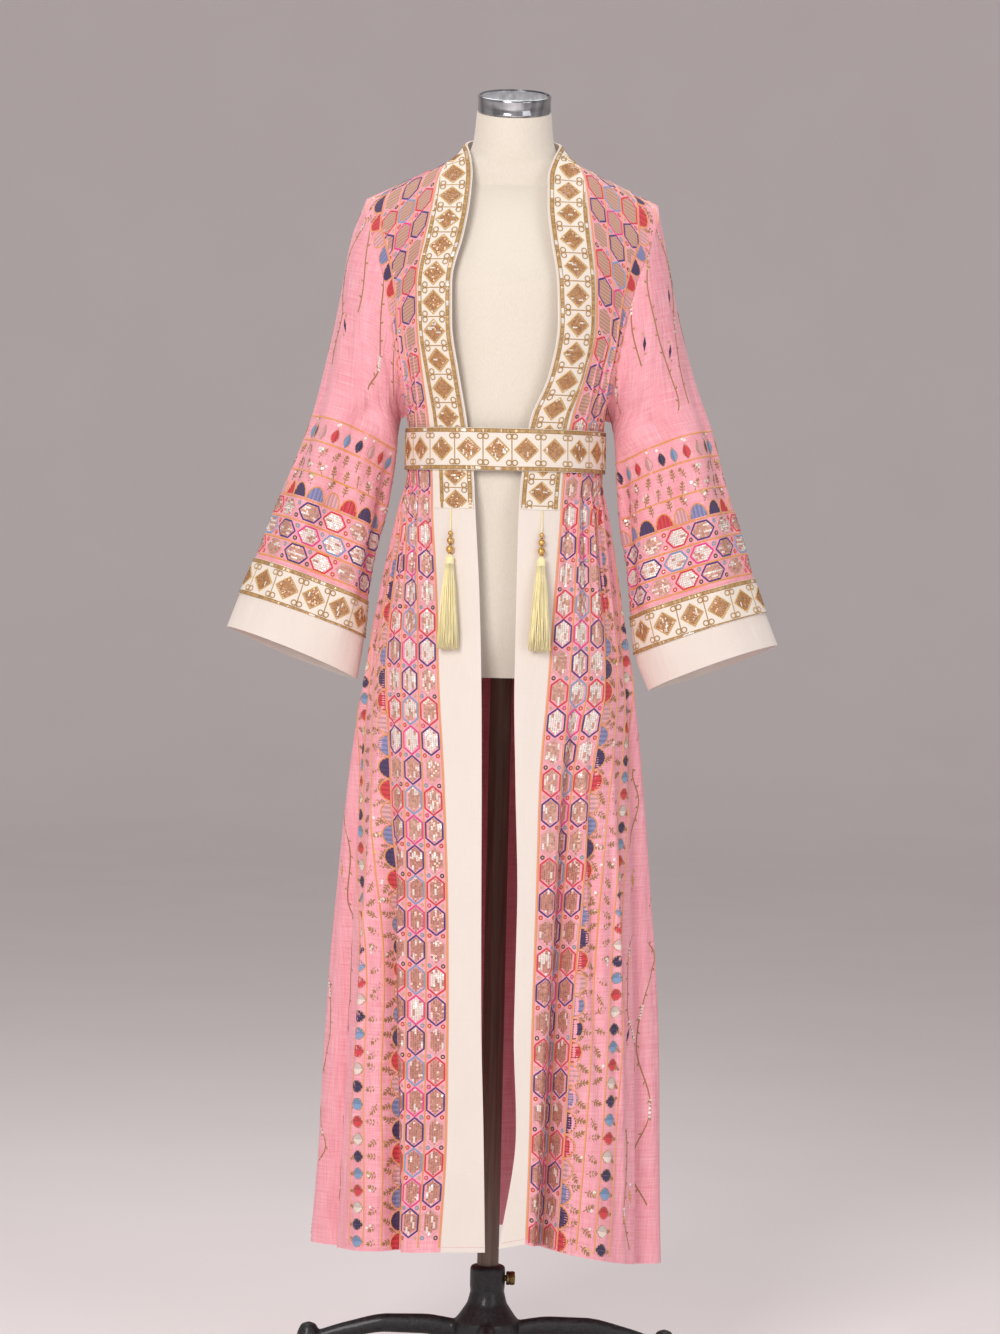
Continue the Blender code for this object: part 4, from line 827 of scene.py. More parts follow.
# %% Cut the body
cloths = {}
for name in SIDES:
    for part, start in (("front_", 0), ("band_", BAND_FINE)):
        cloths[part + name] = Cloth(grids[part + name], start, start)
    for part in ("sleeve_", "cuff_"):
        points, normals = grids[part + name]
        cloths[part + name] = Cloth(points, ARM_FINE, None, normals, part == "sleeve_")
cloths["back"] = Cloth(grids["back"], BACK_FINE // 2, BACK_FINE // 2)
for name in ("front_right", "front_left", "back"):
    cloth_piece(name, "body", "form_torso_cover", "belt_cloth")
for name in SIDES:
    cloth_piece("band_" + name, "edge", "front_" + name + "_cloth")
    cloth_piece("sleeve_" + name, "body", "front_" + name + "_cloth")
    cloth_piece("cuff_" + name, "edge", "sleeve_" + name + "_cloth")

# %% Neck band and trims
NECK_COLUMNS, NECK_LINES = 49, 9
CUFF_TRIM_ROWS = 10  # the trim covers the upper rows of the cuff
ridge = ROWS["right"][0]
neck = edge_angle(ridge, "x_seam") / math.pi
edge = back_grid([0.0], np.linspace(0.5 - neck, 0.5 + neck, NECK_COLUMNS))[0]
edge[:, 1] = np.maximum(edge[:, 1], SEAM / 2)
rise = edge[:, 1] / ridge["back_depth"]
x = edge[:, 0] * ridge["x_open"] / ridge["x_seam"]
z = ridge["z_seam"] + ridge["lift"] + NECK_BAND_RISE * rise
top = np.stack([x, SEAM / 2 + rise * NECK_BAND_BACK, z], axis=1)
foot = edge + unit(top - edge) * SEAM / 2


def between(first, last):
    """A grid of lines from the neck band's foot to its top, between two shares."""
    shares = np.linspace(first, last, NECK_LINES)[:, None, None]
    return foot[None] * (1 - shares) + top[None] * shares


grid = between(0.0, 1.0)
cloths["neck_band"] = Cloth(grid, NECK_COLUMNS // 2, NECK_COLUMNS // 2)
grid = between(NECK_TRIM_EDGE, 1 - BAND_EDGE) + cloths["neck_band"].normals[:1] * TRIM_LIFT
grid[:, (0, -1), 1] = SEAM / 2
cloths["trim_neck"] = Cloth(grid, NECK_COLUMNS // 2, NECK_COLUMNS // 2)
trim_rows = rows_down[rows_down <= TRIM_END]
for name in SIDES:
    grid = band_grid(name, trim_rows, np.linspace(BAND_EDGE, 1 - BAND_EDGE, BAND_FINE + 1))
    grid = grid + grid_normals(grid) * TRIM_LIFT
    grid[0, :, 1] = -SEAM / 2
    cloths["trim_" + name] = Cloth(grid, 0, BAND_FINE // 2)
    points, normals = (field[:CUFF_TRIM_ROWS] for field in grids["cuff_" + name])
    cloths["cuff_trim_" + name] = Cloth(points + normals * TRIM_LIFT, ARM_FINE, None, normals)

# %% The belt, a closed ring over the bands, the fronts and the back
BELT_LINES, GAP_STEPS = 7, 10  # lines down the belt, steps across the front opening
belt_rows = slice(ARM_FINE + 3, ARM_FINE + 3 + BELT_LINES)
order = (
    ("band_left", slice(None)),
    ("front_left", slice(1, -1)),
    ("back", slice(-2, 0, -1)),
    ("front_right", slice(-2, 0, -1)),
    ("band_right", slice(None, None, -1)),
)
ring = np.concatenate([grids[name][belt_rows, part] for name, part in order], axis=1)
gap = np.linspace(0.0, 1.0, GAP_STEPS + 1)[1:-1, None]
gap = np.stack([last * (1 - gap) + first * gap for first, last in zip(ring[:, 0], ring[:, -1])])
ring = np.concatenate([ring, gap], axis=1)
normals = grid_normals(ring, True) * (1, 1, 0)
seams = [grids["band_" + name][belt_rows, -1:] for name in SIDES]
distance = np.minimum(*(np.linalg.norm(ring - seam, axis=2) for seam in seams))
x, y = ring[:, :, 0], ring[:, :, 1]
on_band = (y < 0) & (x >= seams[0][:, :, 0]) & (x <= seams[1][:, :, 0])
lift = TRIM_LIFT * np.where(on_band, 1.0, np.clip(1 - distance / BELT_RELIEF, 0, 1))
ring = ring + unit(normals) * ((WALL + BELT_WALL) / 2 + SEAM + BELT_EASE + lift)[:, :, None]
ring[:, :, 2] = np.linspace(BELT_TOP, BELT_BOTTOM, BELT_LINES)[:, None]
ring = np.roll(ring, -int(np.argmax(ring[0, :, 1])), axis=1)
middle = int(np.argmin(np.abs(ring[0, :, 0] - BELT_MIDDLE) + (ring[0, :, 1] > 0)))
cloths["belt"] = Cloth(unrolled(ring), middle, None, unrolled(grid_normals(ring, True)))
cloth_piece("neck_band", "edge", "back_cloth")
cloth_piece("trim_neck", "trim", "neck_band_cloth")
for name in SIDES:
    cloth_piece("trim_" + name, "trim", "band_" + name + "_cloth")
    cloth_piece("cuff_trim_" + name, "trim", "cuff_" + name + "_cloth")
cloth_piece("belt", "belt", "front_right_cloth", "front_left_cloth")

# %% [markdown]
# ## Drawing in thread
#
# Embroidery is drawn flat, in metres on the cut, from a few small shapes: a ribbon with a raised
# middle for a line of thread, rows of ribbons for satin stitch, rings, and six-sided sequins
# that each tip a little differently. All of a panel's stitches then go onto the cloth in one
# step and become one mesh, because thousands of small objects would be slow.

# %% Small flat shapes: points (u, v, lift), triangles and a tint for each point
THREAD_FOOT = 0.00045  # how high a thread's edges lie over its flat place


def spots(u, v):
    """Flat places; one number can stand for many."""
    return np.stack(np.broadcast_arrays(*np.atleast_1d(u, v)), axis=1)


def shape_of(points, triangles):
    points = np.asarray(points, dtype=float)
    return points, np.asarray(triangles, dtype=int), np.ones(len(points))


def dotted(path, step, closed):
    """Adds points to a path, so that it can follow a curved cloth."""
    path = [np.asarray(p, dtype=float) for p in path]
    ends = path[1:] + path[:1] if closed else path[1:]
    made = []
    for a, b in zip(path, ends):
        count = max(1, int(math.ceil(np.linalg.norm(b - a) / step)))
        made += [a + (b - a) * k / count for k in range(count)]
    return np.array(made if closed else made + [path[-1]])


def ribbon(path, width, rise=0.0006, closed=False, step=0.005):
    """A line of thread: three rails, the middle one raised."""
    path = dotted(path, step, closed)
    if closed:
        along = unit(np.roll(path, -1, axis=0) - np.roll(path, 1, axis=0))
    else:
        along = unit(np.gradient(path, axis=0))
    side = np.stack([-along[:, 1], along[:, 0]], axis=1) * width / 2
    count = len(path)
    low = np.full((count, 1), THREAD_FOOT)
    rails = [
        np.hstack([path - side, low]), np.hstack([path, low + rise]), np.hstack([path + side, low])
    ]
    faces = []
    for k in range(count if closed else count - 1):
        n = (k + 1) % count
        for r in (0, count):
            faces += [(r + k, r + n, r + count + n), (r + k, r + count + n, r + count + k)]
    return shape_of(np.vstack(rails), faces)


def together(*shapes):
    points, faces, tints = zip(*shapes)
    starts = np.cumsum([0] + [len(tint) for tint in tints])
    faces = [part + start for part, start in zip(faces, starts)]
    return np.vstack(points), np.vstack(faces), np.concatenate(tints)


def moved(shape, u=0.0, v=0.0, turn=0.0):
    c, s = math.cos(turn), math.sin(turn)
    x, y, lift = shape[0].T
    return np.stack([x * c - y * s + u, x * s + y * c + v, lift], axis=1), shape[1], shape[2]


def circle(radius, sides):
    turns = np.arange(sides) * 2 * math.pi / sides
    return np.stack([radius * np.cos(turns), radius * np.sin(turns)], axis=1)


def satin(rows, width, rise=0.0005):
    """Satin stitch: ribbons side by side, every second one darker as painted shade between ribs."""
    made = [ribbon(row, width, rise, step=0.009) for row in rows]
    # Every second rib's thread colour is darkened, as painted shade between the ribs
    dark = [(points, faces, tint * 0.72) for points, faces, tint in made[::2]]
    made[::2] = dark
    return together(*made)


# %% The motifs
QUARTER = math.pi / 2


def hexagon(half_wide, half_side, half_long):
    """The outline in thread of a long hexagon whose points are up and down."""
    corners = [
        (half_wide, -half_side), (half_wide, half_side), (0.0, half_long),
        (-half_wide, half_side), (-half_wide, -half_side), (0.0, -half_long),
    ]
    return ribbon(corners, 0.0023, 0.0008, closed=True)


def hoop(radius, sides, width, rise):
    return ribbon(circle(radius, sides), width, rise, closed=True, step=1.0)


HEX = hexagon(0.0112, 0.0098, 0.0182)
SLEEVE_HEX = moved(hexagon(0.0108, 0.0076, 0.0160), turn=QUARTER)
EYE, RING = hoop(0.0022, 8, 0.0016, 0.0006), hoop(0.0033, 12, 0.0016, 0.0008)


def dome(radius, length):
    """A scallop: its base on v, bulging along u, filled with rows of satin."""
    rows = []
    for v in (np.arange(9) - 4) / 4.4:
        reach = radius * math.sqrt(1 - v * v)
        rows.append([(0.0008, v * length), (reach - 0.0010, v * length)])
    turns = np.linspace(-QUARTER, QUARTER, 11)
    arc = np.stack([radius * np.cos(turns), length * np.sin(turns)], axis=1)
    return satin(rows, length * 2 / 8.6), ribbon(arc, 0.0020, 0.0008)


DOME, DOME_EDGE = dome(0.0146, 0.0132)
SLEEVE_DOME, SLEEVE_DOME_EDGE = (moved(s, turn=QUARTER) for s in dome(0.0185, 0.0115))


def leaf(length, half, lean=0.35):
    """A leaf along u: slanting satin on both sides of its rib, and a dark outline."""
    rows = []
    for u in length * (0.08 + 0.12 * np.arange(7)):
        wide = half * math.sin(math.pi * min(1.0, (u / length) ** 0.8)) ** 1.25
        for side in (-1, 1):
            rows.append([(u, 0.0), (min(u + wide * lean, length), side * wide)])
    rim = [
        (length * s, side * half * abs(math.sin(math.pi * s**0.8)) ** 1.25)
        for side, part in ((1, np.linspace(0, 1, 8)), (-1, np.linspace(1, 0, 8)[1:-1]))
        for s in part
    ]
    return satin(rows, length * 0.13, 0.0004), ribbon(rim, 0.0009, 0.0005, closed=True, step=1.0)


LEAF, LEAF_RIM = leaf(0.0185, 0.0072)
TALL_LEAF, TALL_LEAF_RIM = (moved(s, turn=QUARTER) for s in leaf(0.0200, 0.0048))


def stroke(u, turn, length, half):
    """One small pointed stitch."""
    points = [(0, 0, 4e-4), (length / 2, half, 6e-4), (length, 0, 4e-4), (length / 2, -half, 6e-4)]
    return moved(shape_of(points, [(0, 2, 1), (0, 3, 2)]), u, turn=turn)


def sprig(size):
    """A small branch: a stem, three pairs of leaflets and one at the tip."""
    pairs = [
        stroke(along * size, math.radians(side * turn), reach * size, 0.075 * size)
        for along, turn, reach in ((0.16, 62, 0.34), (0.36, 50, 0.38), (0.58, 34, 0.36))
        for side in (-1, 1)
    ]
    tip = stroke(0.68 * size, 0.0, 0.34 * size, 0.085 * size)
    stem = ribbon([(-0.14 * size, 0.0), (0.80 * size, 0.0)], 0.085 * size, 0.0003, step=1.0)
    return together(stem, *pairs, tip)


SPRIG, SMALL_SPRIG = sprig(0.0150), sprig(0.0105)
reaches = [(0.0022 * (1 - abs(k) / 5), k * 0.0019) for k in range(-4, 5)]
DIAMOND = satin([[(-reach, v), (reach, v)] for reach, v in reaches], 0.0021)
print("hexagon:", len(HEX[1]), "triangles; dome:", len(DOME[1]), "leaf:", len(LEAF[1]))

# %% Thread colours
RED, INDIGO, PALE = seen(232, 66, 78), seen(72, 58, 134), seen(246, 186, 190)
LIGHT_BLUE, HOT_PINK, NAVY = seen(138, 172, 214), seen(246, 74, 156), seen(58, 46, 92)
PERIWINKLE, ORANGE, GOLD = seen(152, 152, 200), seen(248, 172, 104), seen(200, 160, 104)
STRIP_GOLD, COPPER_WITH_FOLD_SHADE, SEAM_PINK = seen(206, 164, 106), seen(208, 146, 120), seen(236, 170, 170)
ROSE_GOLD, BRIGHT_GOLD, OLD_GOLD = seen(226, 174, 148), seen(236, 196, 128), seen(200, 142, 88)
CREAM_THREAD, TAN, PLUM = seen(255, 236, 226), seen(224, 174, 152), seen(80, 58, 108)
# The first colour below is a near-white that is painted on some sequins as a glint
PAINTED_GLINT, AMBER, VINE = seen(255, 248, 236), seen(246, 188, 104), seen(178, 134, 82)


# %% The needle: collects stamped shapes and sews them on a cloth
class Stitches:
    """Shapes drawn flat in one material, on their way to becoming one mesh."""

    def __init__(self, material, slot):
        self.material, self.slot = material, slot
        self.points, self.faces, self.colours, self.count = [], [], [], 0

    def add(self, points, faces, colours):
        """Adds copies of one shape: (copies, points, 3), its triangles and all colours."""
        copies, size = points.shape[:2]
        starts = self.count + np.arange(copies) * size
        self.points.append(points.reshape(-1, 3))
        self.faces.append((faces[None] + starts[:, None, None]).reshape(-1, 3))
        self.colours.append(colours)
        self.count += copies * size

    def stamp(self, shape, places, colour):
        """Copies a shape to each place, in one colour."""
        points, faces, tint = shape
        places = np.atleast_2d(np.asarray(places, dtype=float))
        if not len(places):
            return
        copies = np.repeat(points[None], len(places), axis=0)
        copies[:, :, :2] += places[:, None, :]
        self.add(copies, faces, np.tile(tint[:, None] * np.asarray(colour), (len(places), 1)))

    def line(self, path, width, rise, colour, step=1.0):
        self.stamp(ribbon(path, width, rise, step=step), (0, 0), colour)

    def cut_beyond(self, limit):
        """Drops what has been drawn so far beyond a line that runs down the cloth."""
        flat, faces = np.vstack(self.points), np.vstack(self.faces)
        keep = flat[:, 0] < limit(flat[:, 1])
        self.faces = [faces[keep[faces].all(axis=1)]]

    def sequins(self, places, radius, colour, seed, tip=0.16, painted_glint_share=0.1):
        """Discs of six sides, tipped by chance; a few runs of three get a painted white glint."""
        places = np.atleast_2d(np.asarray(places, dtype=float))
        chance, corner = np.random.default_rng(seed), circle(radius, 6)
        lean = chance.normal(0.0, tip, (len(places), 2))
        points = np.empty((len(places), 6, 3))
        points[:, :, :2] = places[:, None, :] + corner[None]
        points[:, :, 2] = (0.0009 + corner @ lean.T).T
        faces = np.array([(0, 1, 2), (0, 2, 3), (0, 3, 4), (0, 4, 5)])
        colours = chance.uniform(0.74, 1.15, len(places))[:, None] * np.asarray(colour)
        # Runs of three sequins are painted near-white as a glint, at the given share
        painted_glints = np.repeat(chance.random(len(places) // 3 + 1), 3)[: len(places)] < painted_glint_share
        colours[painted_glints] = PAINTED_GLINT
        self.add(points, faces, np.clip(np.repeat(colours, 6, axis=0), 0, 1))

    def fill(self, places, pattern, colour, seed, painted_glint_share):
        """Sequins in the same pattern round each place."""
        every = (places[:, None, :] + pattern[None]).reshape(-1, 2)
        self.sequins(every, 0.00150, colour, seed, 0.16, painted_glint_share)

    def sow(self, shape, places, turn, spread, seed):
        """Stamps a shape in the vines' colour in five turns, dealt out by chance."""
        chance, places = np.random.default_rng(seed), np.asarray(places)
        lots = chance.integers(0, 5, len(places))
        for k in range(5):
            self.stamp(moved(shape, turn=turn + spread * (k - 2) / 2), places[lots == k], VINE)

    def scatter(self, places, share, seed):
        """Small clusters of bright sequins at a share of the places, by chance; most get a painted
        white glint.
        """
        chance = np.random.default_rng(seed)
        clusters = [
            place + chance.normal(0.0, 0.0022, 2)
            for place in places[chance.random(len(places)) < share]
            for _ in range(chance.integers(1, 5))
        ]
        self.sequins(clusters, 0.0020, BRIGHT_GOLD, seed, 0.16, 0.8)

    def sew(self, name, cloth):
        """Puts all stitches on the cloth, drops what falls off it, and makes one mesh."""
        flat, faces = np.vstack(self.points), np.vstack(self.faces)
        found, normals, inside = cloth.place(flat[:, :2])
        points = found + normals * (flat[:, 2:] + cloth.face - 0.00035)
        faces = faces[inside[faces].all(axis=1)]
        a, b, c = (points[faces[:, k]] for k in range(3))
        behind = np.sum(np.cross(b - a, c - a) * normals[faces[:, 0]], axis=1) < 0
        faces[behind] = faces[behind][:, ::-1]
        used, faces = np.unique(faces, return_inverse=True)
        faces = faces.reshape(-1, 3)
        mesh = bpy.data.meshes.new(name)
        mesh.from_pydata(points[used], [], faces)
        colours = np.hstack([np.vstack(self.colours)[used], np.ones((len(used), 1))])
        own = mesh.color_attributes.new(name="thread", type="FLOAT_COLOR", domain="POINT")
        own.data.foreach_set("color", colours.ravel())
        mesh.materials.append(self.material)
        piece = bpy.data.objects.new(name, mesh)
        bpy.context.collection.objects.link(piece)
        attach(piece, "form")
        print(f"{name}: {len(faces)} triangles")


def layers():
    """Coloured thread, gold thread and sequins."""
    finishes = ((THREAD, "silk"), (GOLD_THREAD, "gold_trim"), (SEQUIN, "gold_trim"))
    return [Stitches(material, slot) for material, slot in finishes]


def sew_layers(made, cloth, *names):
    for stitches, name in zip(made, names):
        stitches.sew(name, cloth)


def inside_hexagon(half_wide, half_side, half_long, step_u, step_v):
    """Places for sequins in a long hexagon, row by row."""
    made = []
    for u in np.arange(-half_wide, half_wide + 1e-6, step_u):
        reach = half_side + (half_long - half_side) * (1 - abs(u) / half_wide)
        made += [(u, v) for v in np.arange(-reach, reach + 1e-6, step_v)]
    return np.array(made)


def stations(first, period, low, high):
    """Evenly spaced places between two limits, through the first one, and their numbers."""
    numbers = np.arange(math.ceil((low - first) / period), math.floor((high - first) / period) + 1)
    return numbers, first + numbers * period


def dealt(numbers, places, colours, shift=0):
    """Each colour in turn with the places that fall to it."""
    count = len(colours)
    return [(c, places[numbers % count == (k + shift) % count]) for k, c in enumerate(colours)]


# %% [markdown]
# ## The fronts
#
# Beside the cream band stand three columns of hexagons between orange lines, then a row of
# scallops, sprigs, and a row of leaves that point outwards. Beyond them the cloth is plain but
# for wandering vines. The same rows run unbroken from the shoulder to the hem.

# %% Columns of hexagons, scallops and leaves
HEX_PERIOD, SCALLOP_PERIOD, LEAF_PERIOD = 0.0378, 0.0284, 0.0212
# The colours of three hexagons going down, each with those of the two eyes below it
OUTER = ((RED, PALE, HOT_PINK), (INDIGO, RED, RED), (PALE, NAVY, LIGHT_BLUE))
INNER = ((LIGHT_BLUE, PALE, RED), (HOT_PINK, LIGHT_BLUE, LIGHT_BLUE), (INDIGO, PALE, RED))
HEX_COLUMNS = ((0.016, OUTER), (0.043, INNER), (0.070, OUTER))
SCALLOPS, LEAVES = (PALE, PERIWINKLE, PLUM, RED), (NAVY, LIGHT_BLUE, RED, CREAM_THREAD)
SCALLOP_LINE, SCALLOP_ROOM = 0.0835, 0.0165  # the room is kept up to the armhole's seam
# Orange lines: distance from the seam, and width; the first three are under the hexagons
LINES = (
    (0.0018, 0.0024), (0.0295, 0.0020), (0.0565, 0.0020), (SCALLOP_LINE, 0.0022),
    (0.1130, 0.0022), (0.1370, 0.0018), (0.1620, 0.0016),
)
# Heights of a red hexagon, a red scallop and a red leaf beside the band
FRONT_PHASE = {"right": (1.0043, 1.0147, 0.6290), "left": (1.0310, 1.0330, 0.6210)}
HEX_FILL = inside_hexagon(0.0086, 0.0082, 0.0145, 0.0029, 0.0026)
# How far below the waist, the sequins' colour and the share of them painted white as glints
# The lowest zone's sequins are a darker copper, which stands partly for painted shade in the
# skirt's folds
ZONES = ((0.0, 0.3, ROSE_GOLD, 0.22), (0.3, 0.55, ROSE_GOLD, 0.14), (0.55, 2.0, COPPER_WITH_FOLD_SHADE, 0.07))
downs = np.linspace(-0.0140, 0.0140, 13)
reaches = 0.0094 * np.minimum(1.0, (0.0168 - np.abs(downs)) / 0.0070)
HEX_SATIN = satin([[(-reach, v), (reach, v)] for reach, v in zip(reaches, downs)], 0.0023)


# Places across the panel of what stands beyond the hexagons
NOTCH_ROW, SPRIG_ROWS = 0.0925, (0.0985, 0.1195)
LEAF_ROW, OUTER_NOTCH_ROW = 0.1382, 0.1515
# Share of the hexagons whose sequins are mostly painted white as glints, near the waist and lower
# down, and where the many painted glints end below the waist
HIGH_GLINT_SHARE, LOW_GLINT_SHARE = 0.42, 0.06  # share of the hexagons that flash, above and below
HIGH_GLINT_END = 0.42  # where the bright ones end, below the waist


def sew_front(name):
    cloth = cloths["front_" + name]
    low, high = cloth.low_v, cloth.high_v
    made = threads, golds, discs = layers()
    hex_at, scallop_at, leaf_at = (cloth.v_at(z) for z in FRONT_PHASE[name])
    waist = cloth.v_at(BELT_TOP)
    chance = np.random.default_rng(17)
    levels = low + np.arange(len(cloth.edges[1])) * cloth.STEP
    border = np.minimum(SCALLOP_LINE, cloth.edges[1] - SCALLOP_ROOM)

    def border_at(v):
        return np.interp(v, levels, border)

    def draw_lines(lines):
        down = np.arange(low, high + 0.004, 0.008)
        for u, width in lines:
            path = spots(border_at(down) if u == SCALLOP_LINE else u, down)
            threads.line(path, width, 0.0008, ORANGE)

    draw_lines(LINES[:3])
    numbers, places = stations(hex_at, HEX_PERIOD, low, high)
    for column, hexes in HEX_COLUMNS:
        for k, ((colour, *eyes), down) in enumerate(dealt(numbers, places, hexes)):
            middles = spots(column, down)
            threads.stamp(HEX, middles, colour)
            threads.stamp(HEX_SATIN, middles[down < waist], TAN)
            # Near the waist more hexagons get many sequins painted white as glints, lower down
            # fewer
            bright = down < waist + HIGH_GLINT_END
            glint_rich = chance.random(len(down)) < np.where(bright, HIGH_GLINT_SHARE, LOW_GLINT_SHARE)
            for start, stop, metal, painted_glint_share in ZONES:
                zone = (down >= waist + start) & (down < waist + stop)
                for chosen, share in ((glint_rich, 0.72), (~glint_rich, painted_glint_share)):
                    discs.fill(middles[zone & chosen], HEX_FILL, metal, 11 + k, share)
            for side, colour in zip((-1, 1), eyes):
                eye = middles + (side * 0.0088, HEX_PERIOD / 2)
                threads.stamp(EYE, eye, colour)
                # A tenth of the eyes' sequins are painted white as glints
                discs.sequins(eye, 0.0014, BRIGHT_GOLD, 5)
    threads.cut_beyond(border_at)
    discs.cut_beyond(border_at)
    draw_lines(LINES[3:])
    numbers, places = stations(scallop_at, SCALLOP_PERIOD, low, high)
    for number, v in zip(numbers, places):
        turn = -math.atan((border_at(v + 0.01) - border_at(v - 0.01)) / 0.02)
        for shape, colour in ((DOME, SCALLOPS[(number + 3) % 4]), (DOME_EDGE, ORANGE)):
            threads.stamp(moved(shape, turn=turn), (border_at(v) + 0.0013, v), colour)
    notches = [(NOTCH_ROW, v + SCALLOP_PERIOD / 2) for v in places]
    numbers, places = stations(leaf_at, LEAF_PERIOD, low, high)
    for colour, down in dealt(numbers, places, LEAVES, 2):
        threads.stamp(LEAF, spots(LEAF_ROW, down), colour)
        golds.stamp(LEAF_RIM, spots(LEAF_ROW, down), GOLD)
    sprigs = [(u, v) for v in places for u in SPRIG_ROWS]
    notches += [(OUTER_NOTCH_ROW, v + 0.001) for v in places]
    golds.sow(SPRIG, sprigs, 0.25, 0.75, 27)
    golds.sow(SMALL_SPRIG, notches, 0.0, 0.6, 28)
    discs.scatter(np.array(sprigs) + (0.010, 0.0), 0.20, 23)
    sew_vines(made, (0.168, cloth.edges[1].max()), (low + 0.05, high), 31, 0.044)
    sew_layers(made, cloth, *(f"front_{kind}_{name}" for kind in ("threads", "gold", "sequins")))


# %% Wandering vines with small diamond leaves
VINE_RUN, VINE_PERIOD = 46, 52  # points in a run of the vine, and from one run to the next


def sew_vines(made, wide, tall, seed, pitch):
    """Vines that run down in loose zigzags, with dashes, sequins and sparse leaves."""
    threads, golds, discs = made
    chance = np.random.default_rng(seed)
    count = max(1, int((wide[1] - wide[0]) / pitch))
    for k in range(count):
        base = wide[0] + (wide[1] - wide[0]) * (k + 0.5) / count
        v, side, path = tall[0] + chance.uniform(0.0, 0.04), chance.choice((-1, 1)), []
        while v < tall[1]:
            path.append((base + side * pitch * chance.uniform(0.02, 0.34), v))
            v += chance.uniform(0.030, 0.085)
            side = -side if chance.random() < 0.75 else side
        if len(path) < 3:
            continue
        path = smooth(path, np.linspace(0, len(path) - 1, (len(path) - 1) * 7 + 1))
        start = chance.integers(0, 12)
        for first in range(start, len(path) - 8, VINE_PERIOD):
            golds.line(path[first : first + VINE_RUN], 0.0018, 0.0005, VINE)
        for n in range(start + 2, len(path) - 2, 2):
            if (n - start) % VINE_PERIOD >= VINE_RUN - 2:
                continue
            turn = math.atan2(*(path[n + 1] - path[n])[::-1]) + chance.choice((-0.9, 0.9))
            golds.stamp(stroke(0, turn, 0.0060, 0.0011), path[n], VINE)
            if chance.random() < 0.17:
                run = path[n] + (path[n + 2] - path[n]) * np.linspace(0, 1, 5)[:, None]
                # Most of these sequins are painted white as glints
                discs.sequins(run, 0.0019, BRIGHT_GOLD, seed + n, 0.16, 0.85)
            if n % 22 == 12:
                turned_leaf = moved(DIAMOND, turn=chance.uniform(-0.4, 0.4))
                spot = path[n] + (chance.choice((-0.012, 0.012)), 0.0)
                threads.stamp(turned_leaf, spot, NAVY if n % 44 == 12 else AMBER)
                pair = spot + ((0.0, 0.012), (0.0, -0.012))
                # Many of these sequins are painted white as glints
                discs.sequins(pair, 0.0017, BRIGHT_GOLD, n, 0.2, 0.6)


for name in SIDES:
    sew_front(name)

# %% [markdown]
# ## Sleeves and back
#
# The sleeve repeats the front's motifs in stripes that run round it, parallel to the cuff.
# The back isn't seen in the photograph, so it has only the vines of the plain cloth.

# %% Stripes round the sleeves
SLEEVE_LINES = (0.007, 0.033, 0.061, 0.090, 0.125, 0.166, 0.198)
# Height above the trim, colours round the sleeve, and where the row starts
SLEEVE_HEXES = (
    (0.047, (LIGHT_BLUE, INDIGO, HOT_PINK), 0.012),
    (0.020, (RED, PALE, INDIGO), 0.000),
    (0.0755, (RED, PALE, INDIGO), 0.006),
)
SLEEVE_PERIOD = 0.0362
SLEEVE_FILL = inside_hexagon(0.0084, 0.0064, 0.0128, 0.0028, 0.0026)[:, ::-1]


# Places down the sleeve, and the distance from one motif to the next
SLEEVE_DOME_ROW, TALL_LEAF_ROW, SLEEVE_DISC_ROW = 0.0915, 0.1690, 0.1925
SLEEVE_SPRIG_ROWS = (0.1120, 0.1285, 0.1475)
SLEEVE_DOME_PERIOD, TALL_LEAF_PERIOD = 0.0250, 0.0180


